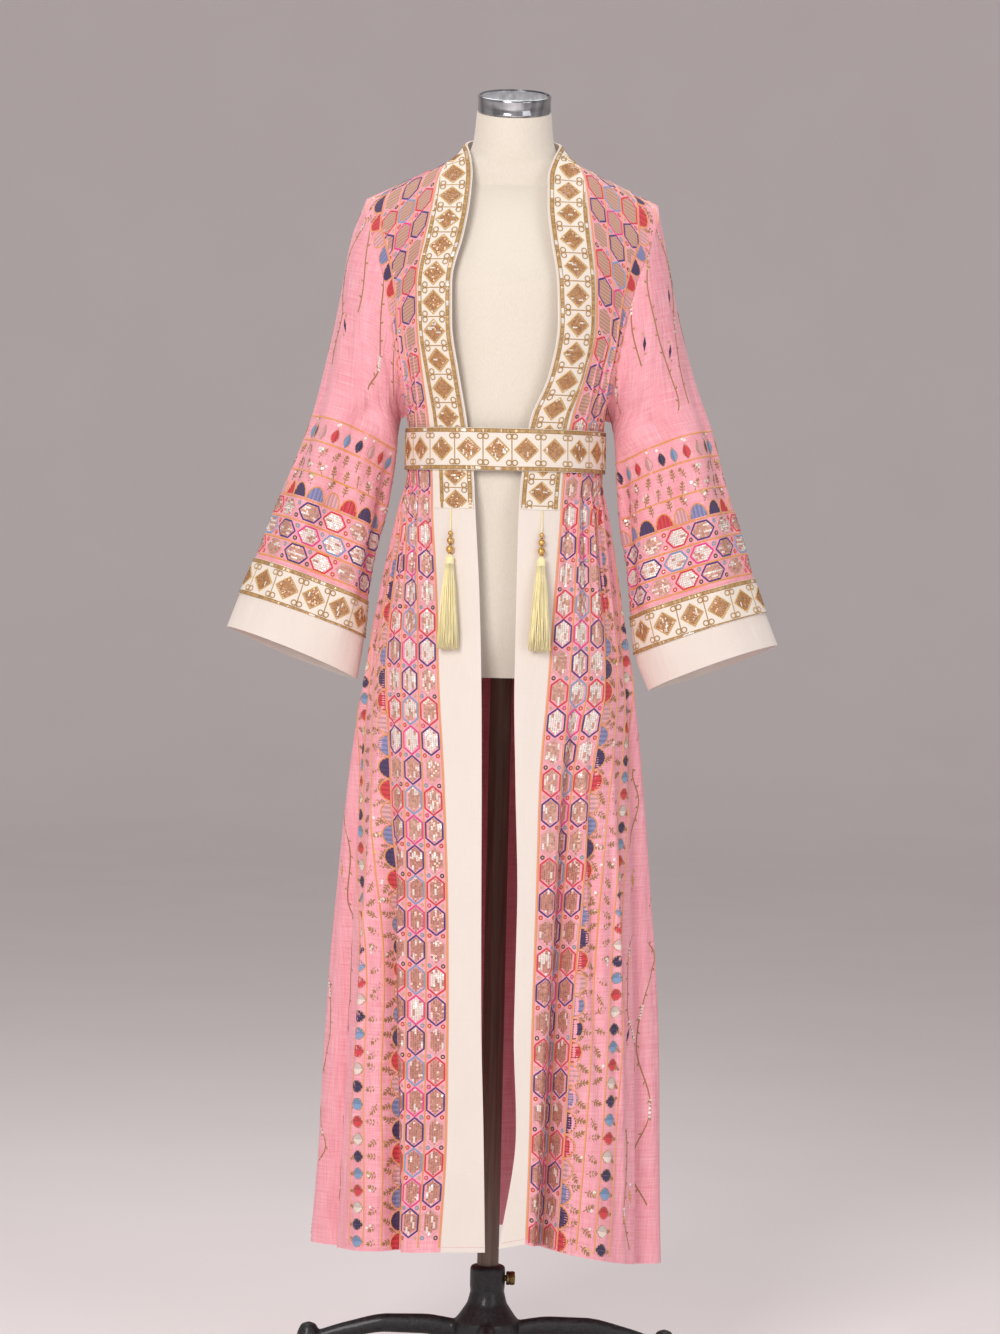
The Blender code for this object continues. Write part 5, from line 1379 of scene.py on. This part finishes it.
def sew_sleeve(name):
    cloth = cloths["sleeve_" + name]
    low, high = float(cloth.u.min()), float(cloth.u.max())
    made = threads, golds, discs = layers()
    chance = np.random.default_rng(19)
    for v in SLEEVE_LINES:
        threads.line(spots(np.arange(low, high, 0.008), v), 0.0026, 0.0009, ORANGE)
    for v, colours, start in SLEEVE_HEXES:
        hexes = dealt(*stations(start, SLEEVE_PERIOD, low, high), colours)
        for k, (colour, around) in enumerate(hexes):
            middles = spots(around, v)
            threads.stamp(SLEEVE_HEX, middles, colour)
            # Half the hexagons get many sequins painted white as glints, the rest few
            glint_rich = chance.random(len(middles)) < 0.5
            for chosen, share in ((glint_rich, 0.75), (~glint_rich, 0.16)):
                discs.fill(middles[chosen], SLEEVE_FILL, ROSE_GOLD, 41 + k, share)
            for side, colour in ((-1, NAVY if k else RED), (1, LIGHT_BLUE if k else RED)):
                eye = middles + (SLEEVE_PERIOD / 2, side * 0.0080)
                threads.stamp(EYE, eye, colour)
                # A tenth of the eyes' sequins are painted white as glints
                discs.sequins(eye, 0.0014, BRIGHT_GOLD, 7)
    numbers, places = stations(0.004, SLEEVE_DOME_PERIOD, low, high)
    for colour, around in dealt(numbers, places, (PALE, RED, PLUM, PERIWINKLE)):
        threads.stamp(SLEEVE_DOME, spots(around, SLEEVE_DOME_ROW), colour)
        threads.stamp(SLEEVE_DOME_EDGE, spots(around, SLEEVE_DOME_ROW), ORANGE)
    upper, middle, lower = SLEEVE_SPRIG_ROWS
    sprigs = [(u + SLEEVE_DOME_PERIOD / 2, upper) for u in places]
    numbers, places = stations(0.003, TALL_LEAF_PERIOD, low, high)
    for colour, around in dealt(numbers, places, (RED, LIGHT_BLUE, NAVY, PALE)):
        threads.stamp(TALL_LEAF, spots(around, TALL_LEAF_ROW), colour)
        golds.stamp(TALL_LEAF_RIM, spots(around, TALL_LEAF_ROW), GOLD)
    for u in places:
        sprigs += [(u, middle), (u + TALL_LEAF_PERIOD / 2, lower)]
    golds.sow(moved(SPRIG, turn=QUARTER), sprigs, 0.0, 0.5, 47)
    discs.scatter(np.array(sprigs) + (0.0, 0.009), 0.60, 43)
    discs.scatter(spots(places, SLEEVE_DISC_ROW), 0.40, 44)
    sew_vines(made, (low + 0.01, high - 0.01), (0.206, float(cloth.v[0].max())), 51, 0.034)
    sew_layers(made, cloth, *(f"sleeve_{kind}_{name}" for kind in ("threads", "gold", "sequins")))


for name in SIDES:
    sew_sleeve(name)

# %% Vines on the back
cloth = cloths["back"]
made = layers()
wide = (float(cloth.edges[0].min()) + 0.02, float(cloth.edges[1].max()) - 0.02)
sew_vines(made, wide, (0.06, cloth.high_v - 0.02), 61, 0.062)
sew_layers(made, cloth, "back_leaves", "back_vines", "back_sequins")

# %% [markdown]
# ## The gold ribbon
#
# Trim, cuffs and belt are one ribbon: a cord, a strip of sequins and another cord along each
# edge, diamonds filled with sequins between them, and a pair of double rings on each side
# between the diamonds. It is drawn along v for the fronts and along u for the rest.

# %% Draw the ribbon along any cloth
CORD, STRIP = 0.0013, 0.0030
DIAMOND_PERIOD, REACH = 0.0368, 0.0150  # the reach is from a diamond's middle to its corner
steps = np.arange(-REACH + 0.0025, REACH - 0.002, 0.0020)
DIAMOND_FILL = np.array([(a, c) for a in steps for c in steps if abs(a) + abs(c) < REACH - 0.0018])
DOT = hoop(0.0014, 8, 0.0008, 0.0005)


def sew_ribbon(name, first, seed, along_v=False):
    """First is the place of one diamond: a height, or a distance round the neck or the arm."""
    cloth = cloths[name]
    _, golds, discs = layers()
    if along_v:
        start, stop = cloth.low_v, cloth.high_v
        half = float(np.median(cloth.edges[1] - cloth.edges[0])) / 2
        middle = -half if cloth.edges[0].min() < -0.001 else half
        first = cloth.v_at(first)
    else:
        start, stop = float(cloth.u.min()), float(cloth.u.max())
        middle, half = (cloth.low_v + cloth.high_v) / 2, (cloth.high_v - cloth.low_v) / 2
    half -= 0.0005

    def laid(along, across):
        places = spots(along, middle + np.asarray(across))
        return places[:, ::-1] if along_v else places

    for side in (-1, 1):
        for off in (CORD / 2, CORD * 1.5 + STRIP):
            path = laid(np.arange(start, stop, 0.008), side * (half - off))
            golds.line(path, CORD, 0.0007, GOLD)
        for off in (CORD + STRIP * 0.27, CORD + STRIP * 0.75):
            strip = laid(np.arange(start, stop, 0.0021), side * (half - off))
            # A few of the strip's sequins are painted white as glints
            discs.sequins(strip, 0.00125, STRIP_GOLD, seed + side, 0.12, 0.06)
    ring = half - CORD * 2 - STRIP - 0.0046
    corners = laid((REACH, 0.0, -REACH, 0.0), (0.0, REACH, 0.0, -REACH)) - laid(0.0, 0.0)
    _, places = stations(first, DIAMOND_PERIOD, start, stop)
    golds.stamp(ribbon(corners, 0.0021, 0.0008, True, 0.006), laid(places, 0.0), BRIGHT_GOLD)
    fill = (spots(places, 0.0)[:, None] + DIAMOND_FILL).reshape(-1, 2)
    # A few of the diamonds' sequins are painted white as glints
    discs.sequins(laid(*fill.T), 0.00125, OLD_GOLD, seed + 2, 0.16, 0.05)
    for a in places + DIAMOND_PERIOD / 2:
        for side in (-1, 1):
            golds.stamp(RING, laid((a - 0.0037, a + 0.0037), side * ring), GOLD)
            golds.line(laid(a, (side * ring, 0.0)), 0.0014, 0.0006, GOLD, 0.005)
            golds.stamp(DOT, laid(a, side * (ring + 0.0042)), GOLD)
    golds.sew("gold_on_" + name, cloth)
    discs.sew("sequins_on_" + name, cloth)


sew_ribbon("trim_right", 1.4817, 71, True)
sew_ribbon("trim_left", 1.4928, 74, True)
sew_ribbon("trim_neck", 0.0, 77)
sew_ribbon("belt", 0.0, 80)
for name in SIDES:
    sew_ribbon("cuff_trim_" + name, 0.004, 83)

# %% Machine stitches along the bands' hems
MACHINE_STITCH = ribbon([(-0.0011, 0.0), (0.0011, 0.0)], 0.0006, 0.0003)
for name in SIDES:
    cloth, hem = cloths["band_" + name], Stitches(THREAD, "silk")
    run = np.arange(float(cloth.u.min()) + 0.002, float(cloth.u.max()) - 0.002, 0.0036)
    hem.stamp(MACHINE_STITCH, spots(run, cloth.high_v - 0.0065), SEAM_PINK)
    hem.sew("hem_stitches_" + name, cloth)

# %% [markdown]
# ## Turned pieces
#
# Beads, a cap, a post and the foot's hub are round. One point is drawn out into half of the
# outline, and the outline is spun round the axis, as on a lathe.


# %% A lathe
def turned(name, profile, steps, place=None):
    """Spins half an outline, given as radii and heights, round the upright axis."""
    deselect()
    bpy.ops.mesh.primitive_plane_add(size=0.001)
    piece = bpy.context.object
    piece.name = piece.data.name = name
    bpy.ops.object.mode_set(mode="EDIT")
    bpy.ops.mesh.merge(type="CENTER")
    bpy.ops.transform.translate(value=(profile[0][0], 0.0, profile[0][1]))
    for (radius, height), (wider, higher) in zip(profile, profile[1:]):
        step = (wider - radius, 0.0, higher - height)
        bpy.ops.mesh.extrude_vertices_move(TRANSFORM_OT_translate={"value": step})
    whole_turn = {"steps": steps, "angle": 2 * math.pi, "center": (0, 0, 0), "axis": (0, 0, 1)}
    edited((bpy.ops.mesh.spin, whole_turn), MERGE, FACE_OUT)
    bpy.ops.object.shade_smooth_by_angle(angle=math.radians(40))
    if place is not None:
        piece.data.transform(place)
    return piece


def dress(piece, material, slot, body, *nodes):
    """Gives a finished piece its material, its body and the nodes that it stands for."""
    piece.data.materials.clear()
    piece.data.materials.append(material)
    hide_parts(*nodes)
    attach(piece, body)
    print(piece.name, len(piece.data.polygons), "faces")


def joined(pieces, name):
    """Several objects made one."""
    deselect()
    for piece in pieces:
        piece.select_set(True)
    bpy.context.view_layer.objects.active = pieces[0]
    bpy.ops.object.join()
    pieces[0].name = pieces[0].data.name = name
    return pieces[0]


def round_end(radius, low, high, count):
    """Half a bead's outline between two heights, for the lathe."""
    turns = np.linspace(0.14 * math.pi, 0.86 * math.pi, count * 2)
    middle, half = (low + high) / 2, (high - low) / 2 / math.cos(0.14 * math.pi)
    return [(radius * math.sin(t), middle + half * math.cos(t)) for t in turns]


# %% [markdown]
# ## The tassels
#
# Each hangs from the end of a front trim: a twisted cord, three gold pearls with small rings
# between them, and a bound head from which the silk strands fall. A strand is a thin
# three-sided thread with its own length, place and waves, so the skirt looks full and loose.

# %% Where the tassels hang, and their threads
TASSEL_X = {"right": -0.0680, "left": 0.0465}
TASSEL_LEAN = math.radians(-15.0)
CORD_LENGTH, CORD_R = 0.0245, 0.0011
CORD_STANDS_OFF = WALL / 2 + SEAM + CORD_R  # the cord lies on the band


def tassel_place(name):
    band = grids["band_" + name]
    row = int(np.argmin(np.abs(band[:, 0, 2] - TRIM_END_Z)))
    order = np.argsort(band[row, :, 0])
    line = band[row, order]
    face = line + grid_normals(band)[row, order] * CORD_STANDS_OFF
    x, y = (np.interp(TASSEL_X[name], line[:, 0], face[:, k]) for k in (0, 1))
    return Matrix.Translation((x, y, TRIM_END_Z - SEAM)) @ Matrix.Rotation(TASSEL_LEAN, 4, "X")


def tube(path, radius, sides):
    """Points and faces of a tube along a path that runs mostly down."""
    turns = np.arange(sides) * 2 * math.pi / sides
    ring = np.stack([np.cos(turns), np.sin(turns), np.zeros(sides)], axis=1)
    points = (path[:, None, :] + ring[None] * np.asarray(radius)[:, None, None]).reshape(-1, 3)
    faces = []
    for start in range(0, len(points) - sides, sides):
        for j in range(sides):
            n = start + (j + 1) % sides
            faces.append((start + j, n, n + sides, start + sides + j))
    faces.append(tuple(range(sides)))
    faces.append(tuple(range(len(points) - sides, len(points))))
    return points, faces


def mesh_of(name, tubes, place):
    """Tubes as one object, with their faces turned out."""
    points, faces, start = [], [], 0
    for tube_points, tube_faces in tubes:
        points.append(tube_points)
        faces += [tuple(start + k for k in face) for face in tube_faces]
        start += len(tube_points)
    mesh = bpy.data.meshes.new(name)
    mesh.from_pydata(np.vstack(points).tolist(), [], faces)
    mesh.transform(place)
    piece = bpy.data.objects.new(name, mesh)
    bpy.context.collection.objects.link(piece)
    deselect()
    bpy.context.view_layer.objects.active = piece
    piece.select_set(True)
    edited(FACE_OUT)
    bpy.ops.object.shade_smooth()
    return piece


def twisted_cord():
    """Two threads wound round each other."""
    turns = np.linspace(0, 12 * math.pi, 97)
    z = np.linspace(0.004, -CORD_LENGTH - 0.001, 97)
    for half in (0.0, math.pi):
        x, y = 0.00055 * np.cos(turns + half), 0.00055 * np.sin(turns + half)
        yield tube(np.stack([x, y, z], axis=1), np.full(97, 0.0006), 6)


# %% Beads, bound heads and strands
BEAD_RADII = (0.0030, 0.0044, 0.0050)
SPACER_R, SPACER_LENGTH = 0.0016, 0.0022
HEAD_DROPS, HEAD_RADII = (0.0, 0.0040, 0.0100, 0.0125), (0.0030, 0.0058, 0.0054, 0.0062)
HEAD_LENGTH = HEAD_DROPS[-1]
STRANDS, STRAND_LENGTH, STRAND_ROOTS = 260, 0.108, 0.0054  # the roots fill a disc this wide
STRAND_UNEVEN = 0.07  # share of the length by which strands differ
STRAND_DRIFT = 0.009  # how far the strands fall back towards the cloth
GOLDEN_TURN = 2.39996  # from one strand's place on the disc to the next, in radians


def tassel_beads(name, place):
    """Three pearls with a small ring under each; returns the height where they end."""
    beads, height = [], -CORD_LENGTH - SEAM
    for radius in BEAD_RADII:
        beads.append(turned("bead", round_end(radius, height - 2 * radius, height, 8), 28, place))
        height -= 2 * radius
        ring = round_end(SPACER_R * 1.15, height - SPACER_LENGTH + 0.0004, height - 0.0002, 3)
        outline = [(0.0004, height), *ring, (0.0004, height - SPACER_LENGTH)]
        beads.append(turned("spacer", outline, 16, place))
        height -= SPACER_LENGTH
    dress(joined(beads, "pearls_" + name), PEARL, "bead", "form", "tassel_beads_" + name)
    return height - SEAM


def tassel_head(top, place):
    """The head; every second ring of its middle is wound a little wider."""
    outline = [(0.0006, top)]
    for k in range(27):
        drop = k / 26 * HEAD_LENGTH
        wound = 0.0003 * (k % 2) if 8 < k < 22 else 0.0
        radius = float(np.interp(drop, HEAD_DROPS, HEAD_RADII)) + wound - 0.0002
        outline.append((radius, top - drop))
    outline.append((0.0006, top - HEAD_LENGTH - 0.0004))
    return turned("head", outline, 40, place)


def strands(top, seed):
    chance = np.random.default_rng(seed)
    t = np.linspace(0.0, 1.0, 8)
    spread = np.interp(t, (0.0, 0.12, 0.3, 1.0), (1.0, 1.22, 1.6, 2.6))
    radius = np.interp(t, (0, 0.5, 1), (0.00050, 0.00072, 0.00056))
    for index in range(STRANDS):
        turn = index * GOLDEN_TURN + chance.uniform(-0.1, 0.1)
        out = math.sqrt((index + 0.5) / STRANDS)
        length = STRAND_LENGTH * (1 - STRAND_UNEVEN * chance.uniform(0.0, 1.0) ** 2)
        x = math.cos(turn) * out * STRAND_ROOTS * spread
        y = math.sin(turn) * out * STRAND_ROOTS * (1 + (spread - 1) * 0.55)
        y = y + STRAND_DRIFT * t**2
        wave, phase = chance.uniform(0.0002, 0.0008), chance.uniform(0, 6.28)
        x = x + wave * np.sin(t * chance.uniform(7, 13) + phase) * t
        y = y + wave * 0.6 * np.cos(t * chance.uniform(7, 13) + phase) * t
        z = top - HEAD_LENGTH + 0.0006 - length * t
        yield tube(np.stack([x, y, z], axis=1), radius, 3)


for seed, name in enumerate(SIDES):
    place = tassel_place(name)
    cord = mesh_of("tassel_cord_" + name + "_silk", twisted_cord(), place)
    dress(cord, SILK, "silk", "form", "tassel_cord_" + name)
    top = tassel_beads(name, place)
    parts = [mesh_of("strands", strands(top, 90 + seed), place), tassel_head(top, place)]
    dress(joined(parts, "tassel_silk_" + name), SILK, "silk", "form", "tassel_" + name)

# %% [markdown]
# ## The form and its cap
#
# The form is a smooth shell under stretched jersey. Its levels come from a table, as the
# garment's do, and a grid primitive rolled into a tube takes their shape. The neck ends in a
# polished cap that is tipped a little forward.

# %% Roll a grid into a solid
# In millimetres, one row for each level: height, half width, front and back half depth
FORM = read_rows("""
935 140 100 108 base
1000 143 108 116 hip
1080 133 102 106 high_hip
1150 118 92 90 above_hip
1225 108 86 80 waist
1300 116 94 84 ribs
1370 126 106 90 under_bust
1435 134 116 96 bust
1490 144 94 96 chest
1530 153 68 76 yoke
1556 153 48 54 shoulder_point
1568 140 40 46 outer_slope
1580.3 114 40 46 middle_slope
1592 88 40 42 inner_slope
1603 62 43 46 neck_root
1625 52 46 48 neck
1664 47.8 47 47 neck_top
""", 1000)
FORM_ROUNDNESS = 2.35  # of the torso; from the shoulders up its levels are ellipses
SHOULDER_Z, NECK_TILT_START, NECK_TOP = 1.560, 1.600, FORM["neck_top"][0]
CAP_TILT = math.radians(16.0)


def rolled(name, rings):
    """A grid rolled into a tube, with its ends filled."""
    piece = sheet_grid(name, unrolled(np.array(rings)))
    edited(MERGE, (bpy.ops.mesh.fill_holes, {"sides": 0}), FACE_OUT)
    bpy.ops.object.shade_smooth_by_angle(angle=math.radians(50))
    return piece


def rounded(wave, power):
    return np.sign(wave) * np.abs(wave) ** power


turns = np.arange(96) * 2 * math.pi / 96
rings = []
for level in smooth(list(FORM.values()), np.linspace(0, len(FORM) - 1, 97)):
    z, half_width, front_depth, back_depth = level
    blend = np.clip((z - SHOULDER_Z + 0.02) / 0.04, 0, 1)
    power = 2 / (FORM_ROUNDNESS + (2.0 - FORM_ROUNDNESS) * blend)
    wide, deep = rounded(np.sin(turns), power), rounded(np.cos(turns), power)
    y = -deep * np.where(deep > 0, front_depth, back_depth)
    share = np.clip((z - NECK_TILT_START) / (NECK_TOP - NECK_TILT_START), 0, 1)
    rings.append(np.stack([half_width * wide, y, z + math.tan(CAP_TILT) * share * y], axis=1))
dress(rolled("form_torso_cover", rings), JERSEY, "jersey", "form", "form_torso")

# %% Cap, disc, post and screw
CAP_R, CAP_HEIGHT, CAP_LIP, CAP_RECESS = 0.0475, 0.022, 0.0030, 0.0040
POST_R, POST_BOTTOM, COLLAR_R = 0.0140, 0.032, 0.0230
SCREW_Z, SCREW_R, KNOB_R, KNOB_LENGTH = 0.149, 0.0040, 0.0090, 0.0120
SCREW_GAP = 0.0004  # between the screw's tip and the post
place = Matrix.Translation((0.0, 0.0, NECK_TOP)) @ Matrix.Rotation(CAP_TILT, 4, "X")
r, top, lip, well = CAP_R, CAP_HEIGHT, CAP_R - CAP_LIP, CAP_HEIGHT - CAP_RECESS
outline = [
    (0.0, SEAM), (r - 0.0012, SEAM), (r - 0.0004, 0.0007), (r, 0.0016), (r, 0.0034),
    (r - 0.0003, 0.0040), (r - 0.0003, 0.0172), (r, 0.0178), (r, top - 0.0018),
    (r - 0.0006, top - 0.0005), (r - 0.0016, top), (lip, top), (lip, well), (0.0, well),
]
dress(turned("cap_of_the_neck", outline, 96, place), CHROME, "chrome", "form", "neck_cap")
r, low = lip - SEAM, well + SEAM
outline = [
    (0.0, low), (r, low), (r, low + 0.0012), (r - 0.001, low + 0.0019),
    (r * 0.5, low + 0.0026), (0.0, low + 0.0029),
]
dress(turned("disc_of_the_cap", outline, 96, place), DARK_DISC, "cap_disc", "form", "neck_cap_disc")
low, end = POST_BOTTOM, FORM["base"][0] - SEAM
outline = [(0.0, low), (POST_R - 0.001, low), (POST_R, low + 0.001), (POST_R, end), (0.0, end)]
dress(turned("painted_post", outline, 64), POST_PAINT, "post_paint", "form", "post")
sideways = Matrix.Rotation(QUARTER, 4, "Y")
place = Matrix.Translation((POST_R + SCREW_GAP, 0.0, SCREW_Z)) @ sideways
r, low = KNOB_R, COLLAR_R + 0.0012 - POST_R - SCREW_GAP
end = low + KNOB_LENGTH
outline = [
    (0.0, 0.0), (SCREW_R - 0.0005, 0.0), (SCREW_R, 0.0006), (SCREW_R, low), (r - 0.0014, low),
    (r, low + 0.0012), (r, low + 0.0042), (r - 0.0007, low + 0.0048), (r, low + 0.0054),
    (r, end - 0.0025), (r - 0.0012, end - 0.0006), (0.0, end),
]
dress(turned("brass_screw", outline, 48, place), BRASS, "screw_brass", "screw", "clamp_screw")

# %% [markdown]
# ## The cast foot
#
# Hub and legs are one rough casting on the real stand, with soft fillets where the legs leave
# the hub. The parts are lathed and lofted, joined, and remeshed as one skin, which rounds every
# inner corner. The bore for the post and the hole for the screw are cut last, to stay crisp.

# %% Hub, legs and feet as one casting
HUB_R, HUB_BOTTOM, COLLAR_TOP, BORE_R, SCREW_HOLE_R = 0.0430, 0.040, 0.166, 0.0145, 0.0045
LEG_REACH, LEG_WIDTH, LEG_DEPTH = 0.232, 0.0216, 0.0280  # from the post's axis to a foot's
LEG_TAPER = 0.25  # how much thinner its outer end is
FOOT_R = 0.0150
r, low, neck, top = HUB_R, HUB_BOTTOM, COLLAR_R, COLLAR_TOP
outline = [
    (0.0, low), (r - 0.006, low), (r, low + 0.006), (r, low + 0.052), (r - 0.007, low + 0.061),
    (neck + 0.003, low + 0.076), (neck - 0.001, top - 0.034), (neck, top - 0.028),
    (neck, top - 0.003), (neck - 0.003, top), (0.0, top),
]
casting = [turned("hub", outline, 64)]
route = [(HUB_R - 0.006, 0.080), (0.085, 0.087), (0.130, 0.087), (0.180, 0.077), (LEG_REACH, 0.061)]
foot_outline = [
    (0.0, 0.0), (FOOT_R - 0.001, 0.0), (FOOT_R, 0.003), (FOOT_R, 0.012), (0.0090, 0.019),
    (0.0080, 0.034), (0.0125, 0.044), (0.0155, 0.058), (0.0150, 0.072), (0.0100, 0.083),
    (0.0, 0.087),
]
around = np.arange(24) * 2 * math.pi / 24
for index in range(4):
    rings = []
    for reach, height in smooth(route, np.linspace(0, 4, 25)):
        taper = 1.0 - LEG_TAPER * (reach - HUB_R) / (LEG_REACH - HUB_R)
        side = LEG_WIDTH / 2 * taper * np.cos(around)
        rise = LEG_DEPTH / 2 * taper * np.sin(around)
        rings.append(np.stack([np.full(24, reach), side, height + rise], axis=1))
    knob = turned("knob", foot_outline, 32, Matrix.Translation((LEG_REACH, 0.0, 0.0)))
    leg = joined([rolled("leg", rings), knob], "leg")
    leg.data.transform(Matrix.Rotation(QUARTER * index, 4, "Z"))
    casting.append(leg)
foot = joined(casting, "cast_foot")


def modified(piece, kind, **settings):
    """Adds a modifier with its settings, and applies it."""
    bpy.context.view_layer.objects.active = piece
    step = piece.modifiers.new("step", kind)
    for key, value in settings.items():
        setattr(step, key, value)
    bpy.ops.object.modifier_apply(modifier="step")


def drill(piece, radius, depth, place):
    """Cuts a round hole with a cylinder."""
    deselect()
    bpy.ops.mesh.primitive_cylinder_add(vertices=64, radius=radius, depth=depth)
    cutter = bpy.context.object
    cutter.data.transform(place)
    modified(piece, "BOOLEAN", operation="DIFFERENCE", object=cutter, solver="EXACT")
    bpy.data.objects.remove(cutter, do_unlink=True)


modified(foot, "REMESH", mode="VOXEL", voxel_size=0.0022)
modified(foot, "SMOOTH", factor=0.5, iterations=6)
for vertex in foot.data.vertices:
    if vertex.co.z < 0.0012:
        vertex.co.z = 0.0  # the soles are flat
drill(foot, BORE_R, 0.3, Matrix.Translation((0, 0, 0.11)))
drill(foot, SCREW_HOLE_R, 0.04, Matrix.Translation((0.03, 0, SCREW_Z)) @ sideways)
foot.select_set(True)
bpy.ops.object.shade_smooth_by_angle(angle=math.radians(40))
legs = ("leg_left", "leg_back", "leg_right", "leg_front")
dress(foot, IRON, "cast_iron", "stand", "stand_hub", *legs)

# %% [markdown]
# ## Floor, light and camera
#
# A plain pale sweep stands for the studio: a floor that curves up into a wall. One large soft
# light stands near the camera, so sequins that face it flash, with a fill and a top light; other
# glints are painted white on the sequins. The camera stands 5 m away at chest height with a
# short telephoto lens, rolled a little.

# %% A pale sweep
SWEEP_WIDTH, SWEEP_LENGTH, SWEEP_FLAT, SWEEP_RADIUS = 90.0, 30.0, 18.0, 3.0
deselect()
bpy.ops.mesh.primitive_grid_add(x_subdivisions=1, y_subdivisions=40, size=1.0)
sweep = bpy.context.object
sweep.name = "floor"
for vertex in sweep.data.vertices:
    run = (vertex.co.y + 0.5) * SWEEP_LENGTH
    turn = min(max((run - SWEEP_FLAT) / SWEEP_RADIUS, 0.0), QUARTER)
    y = min(run, SWEEP_FLAT) - SWEEP_FLAT / 2 + SWEEP_RADIUS * math.sin(turn)
    z = SWEEP_RADIUS * (1 - math.cos(turn)) + max(0.0, run - SWEEP_FLAT - SWEEP_RADIUS * QUARTER)
    vertex.co = (vertex.co.x * SWEEP_WIDTH, y, z)
bpy.ops.object.shade_smooth()
plain = Finish("pale_floor", Roughness=0.9)
mottle = plain.noise(plain.body(), (2.0, 2.0, 2.0), 3.0)
plain.colour(plain.mix(mottle, seen(240, 232, 232), seen(246, 239, 239)))
sweep.data.materials.append(plain.material)
sweep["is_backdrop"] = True
print("floor:", len(sweep.data.polygons), "faces")

# %% Lights, world and camera
scene = bpy.context.scene
scene.view_settings.view_transform = "Standard"
world = bpy.data.worlds.new("pale_room")
world.use_nodes = True
background = world.node_tree.nodes["Background"].inputs
background["Color"].default_value = (0.90, 0.86, 0.85, 1.0)
background["Strength"].default_value = 0.44
scene.world = world


def soft_light(name, place, aim, size, power, colour=(1.0, 1.0, 1.0)):
    light = bpy.data.lights.new(name, "AREA")
    light.shape, light.size, light.size_y = "RECTANGLE", size[0], size[1]
    light.energy, light.color = power, colour
    lamp = bpy.data.objects.new(name, light)
    aimed = (Vector(aim) - Vector(place)).to_track_quat("-Z", "Y").to_matrix().to_4x4()
    lamp.matrix_world = Matrix.Translation(place) @ aimed
    bpy.context.collection.objects.link(lamp)


soft_light("key", (-1.6, -4.2, 2.6), (0.0, 0.0, 0.95), (1.6, 2.2), 120.0, (1.0, 0.97, 0.95))
soft_light("fill", (2.6, -3.2, 1.6), (0.0, 0.0, 0.9), (1.8, 2.4), 28.0, (0.97, 0.98, 1.0))
soft_light("top", (0.0, 0.6, 3.4), (0.0, 0.0, 1.0), (2.4, 1.6), 36.0)
camera = bpy.data.cameras.new("camera")
camera.lens, camera.sensor_width, camera.sensor_fit = 104.0, 36.0, "AUTO"
camera.clip_end = 60.0
eye, aim, roll = Vector((0.0, -5.0, 1.10)), Vector((-0.002, 0.0, 0.946)), math.atan(0.0230)
back_way = (eye - aim).normalized()
right = Vector((0, 0, 1)).cross(back_way).normalized()
up = back_way.cross(right)
rolled_right = right * math.cos(roll) + up * math.sin(roll)
rolled_up = up * math.cos(roll) - right * math.sin(roll)
watcher = bpy.data.objects.new("camera", camera)
axes = [(rolled_right[k], rolled_up[k], back_way[k], eye[k]) for k in range(3)]
watcher.matrix_world = Matrix([*axes, (0.0, 0.0, 0.0, 1.0)])
bpy.context.collection.objects.link(watcher)
scene.camera = watcher
print("lights: key, fill, top; camera:", camera.lens, "mm")

# %% [markdown]
# ## Measure and finish
#
# The dressed form must stay the size of its solids, so its box is printed, as the solids' box is at
# the start.

# %% Print the dressed form's box
looks_box = [list(corner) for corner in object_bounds()]
print("looks box:", [[round(v, 3) for v in corner] for corner in looks_box])
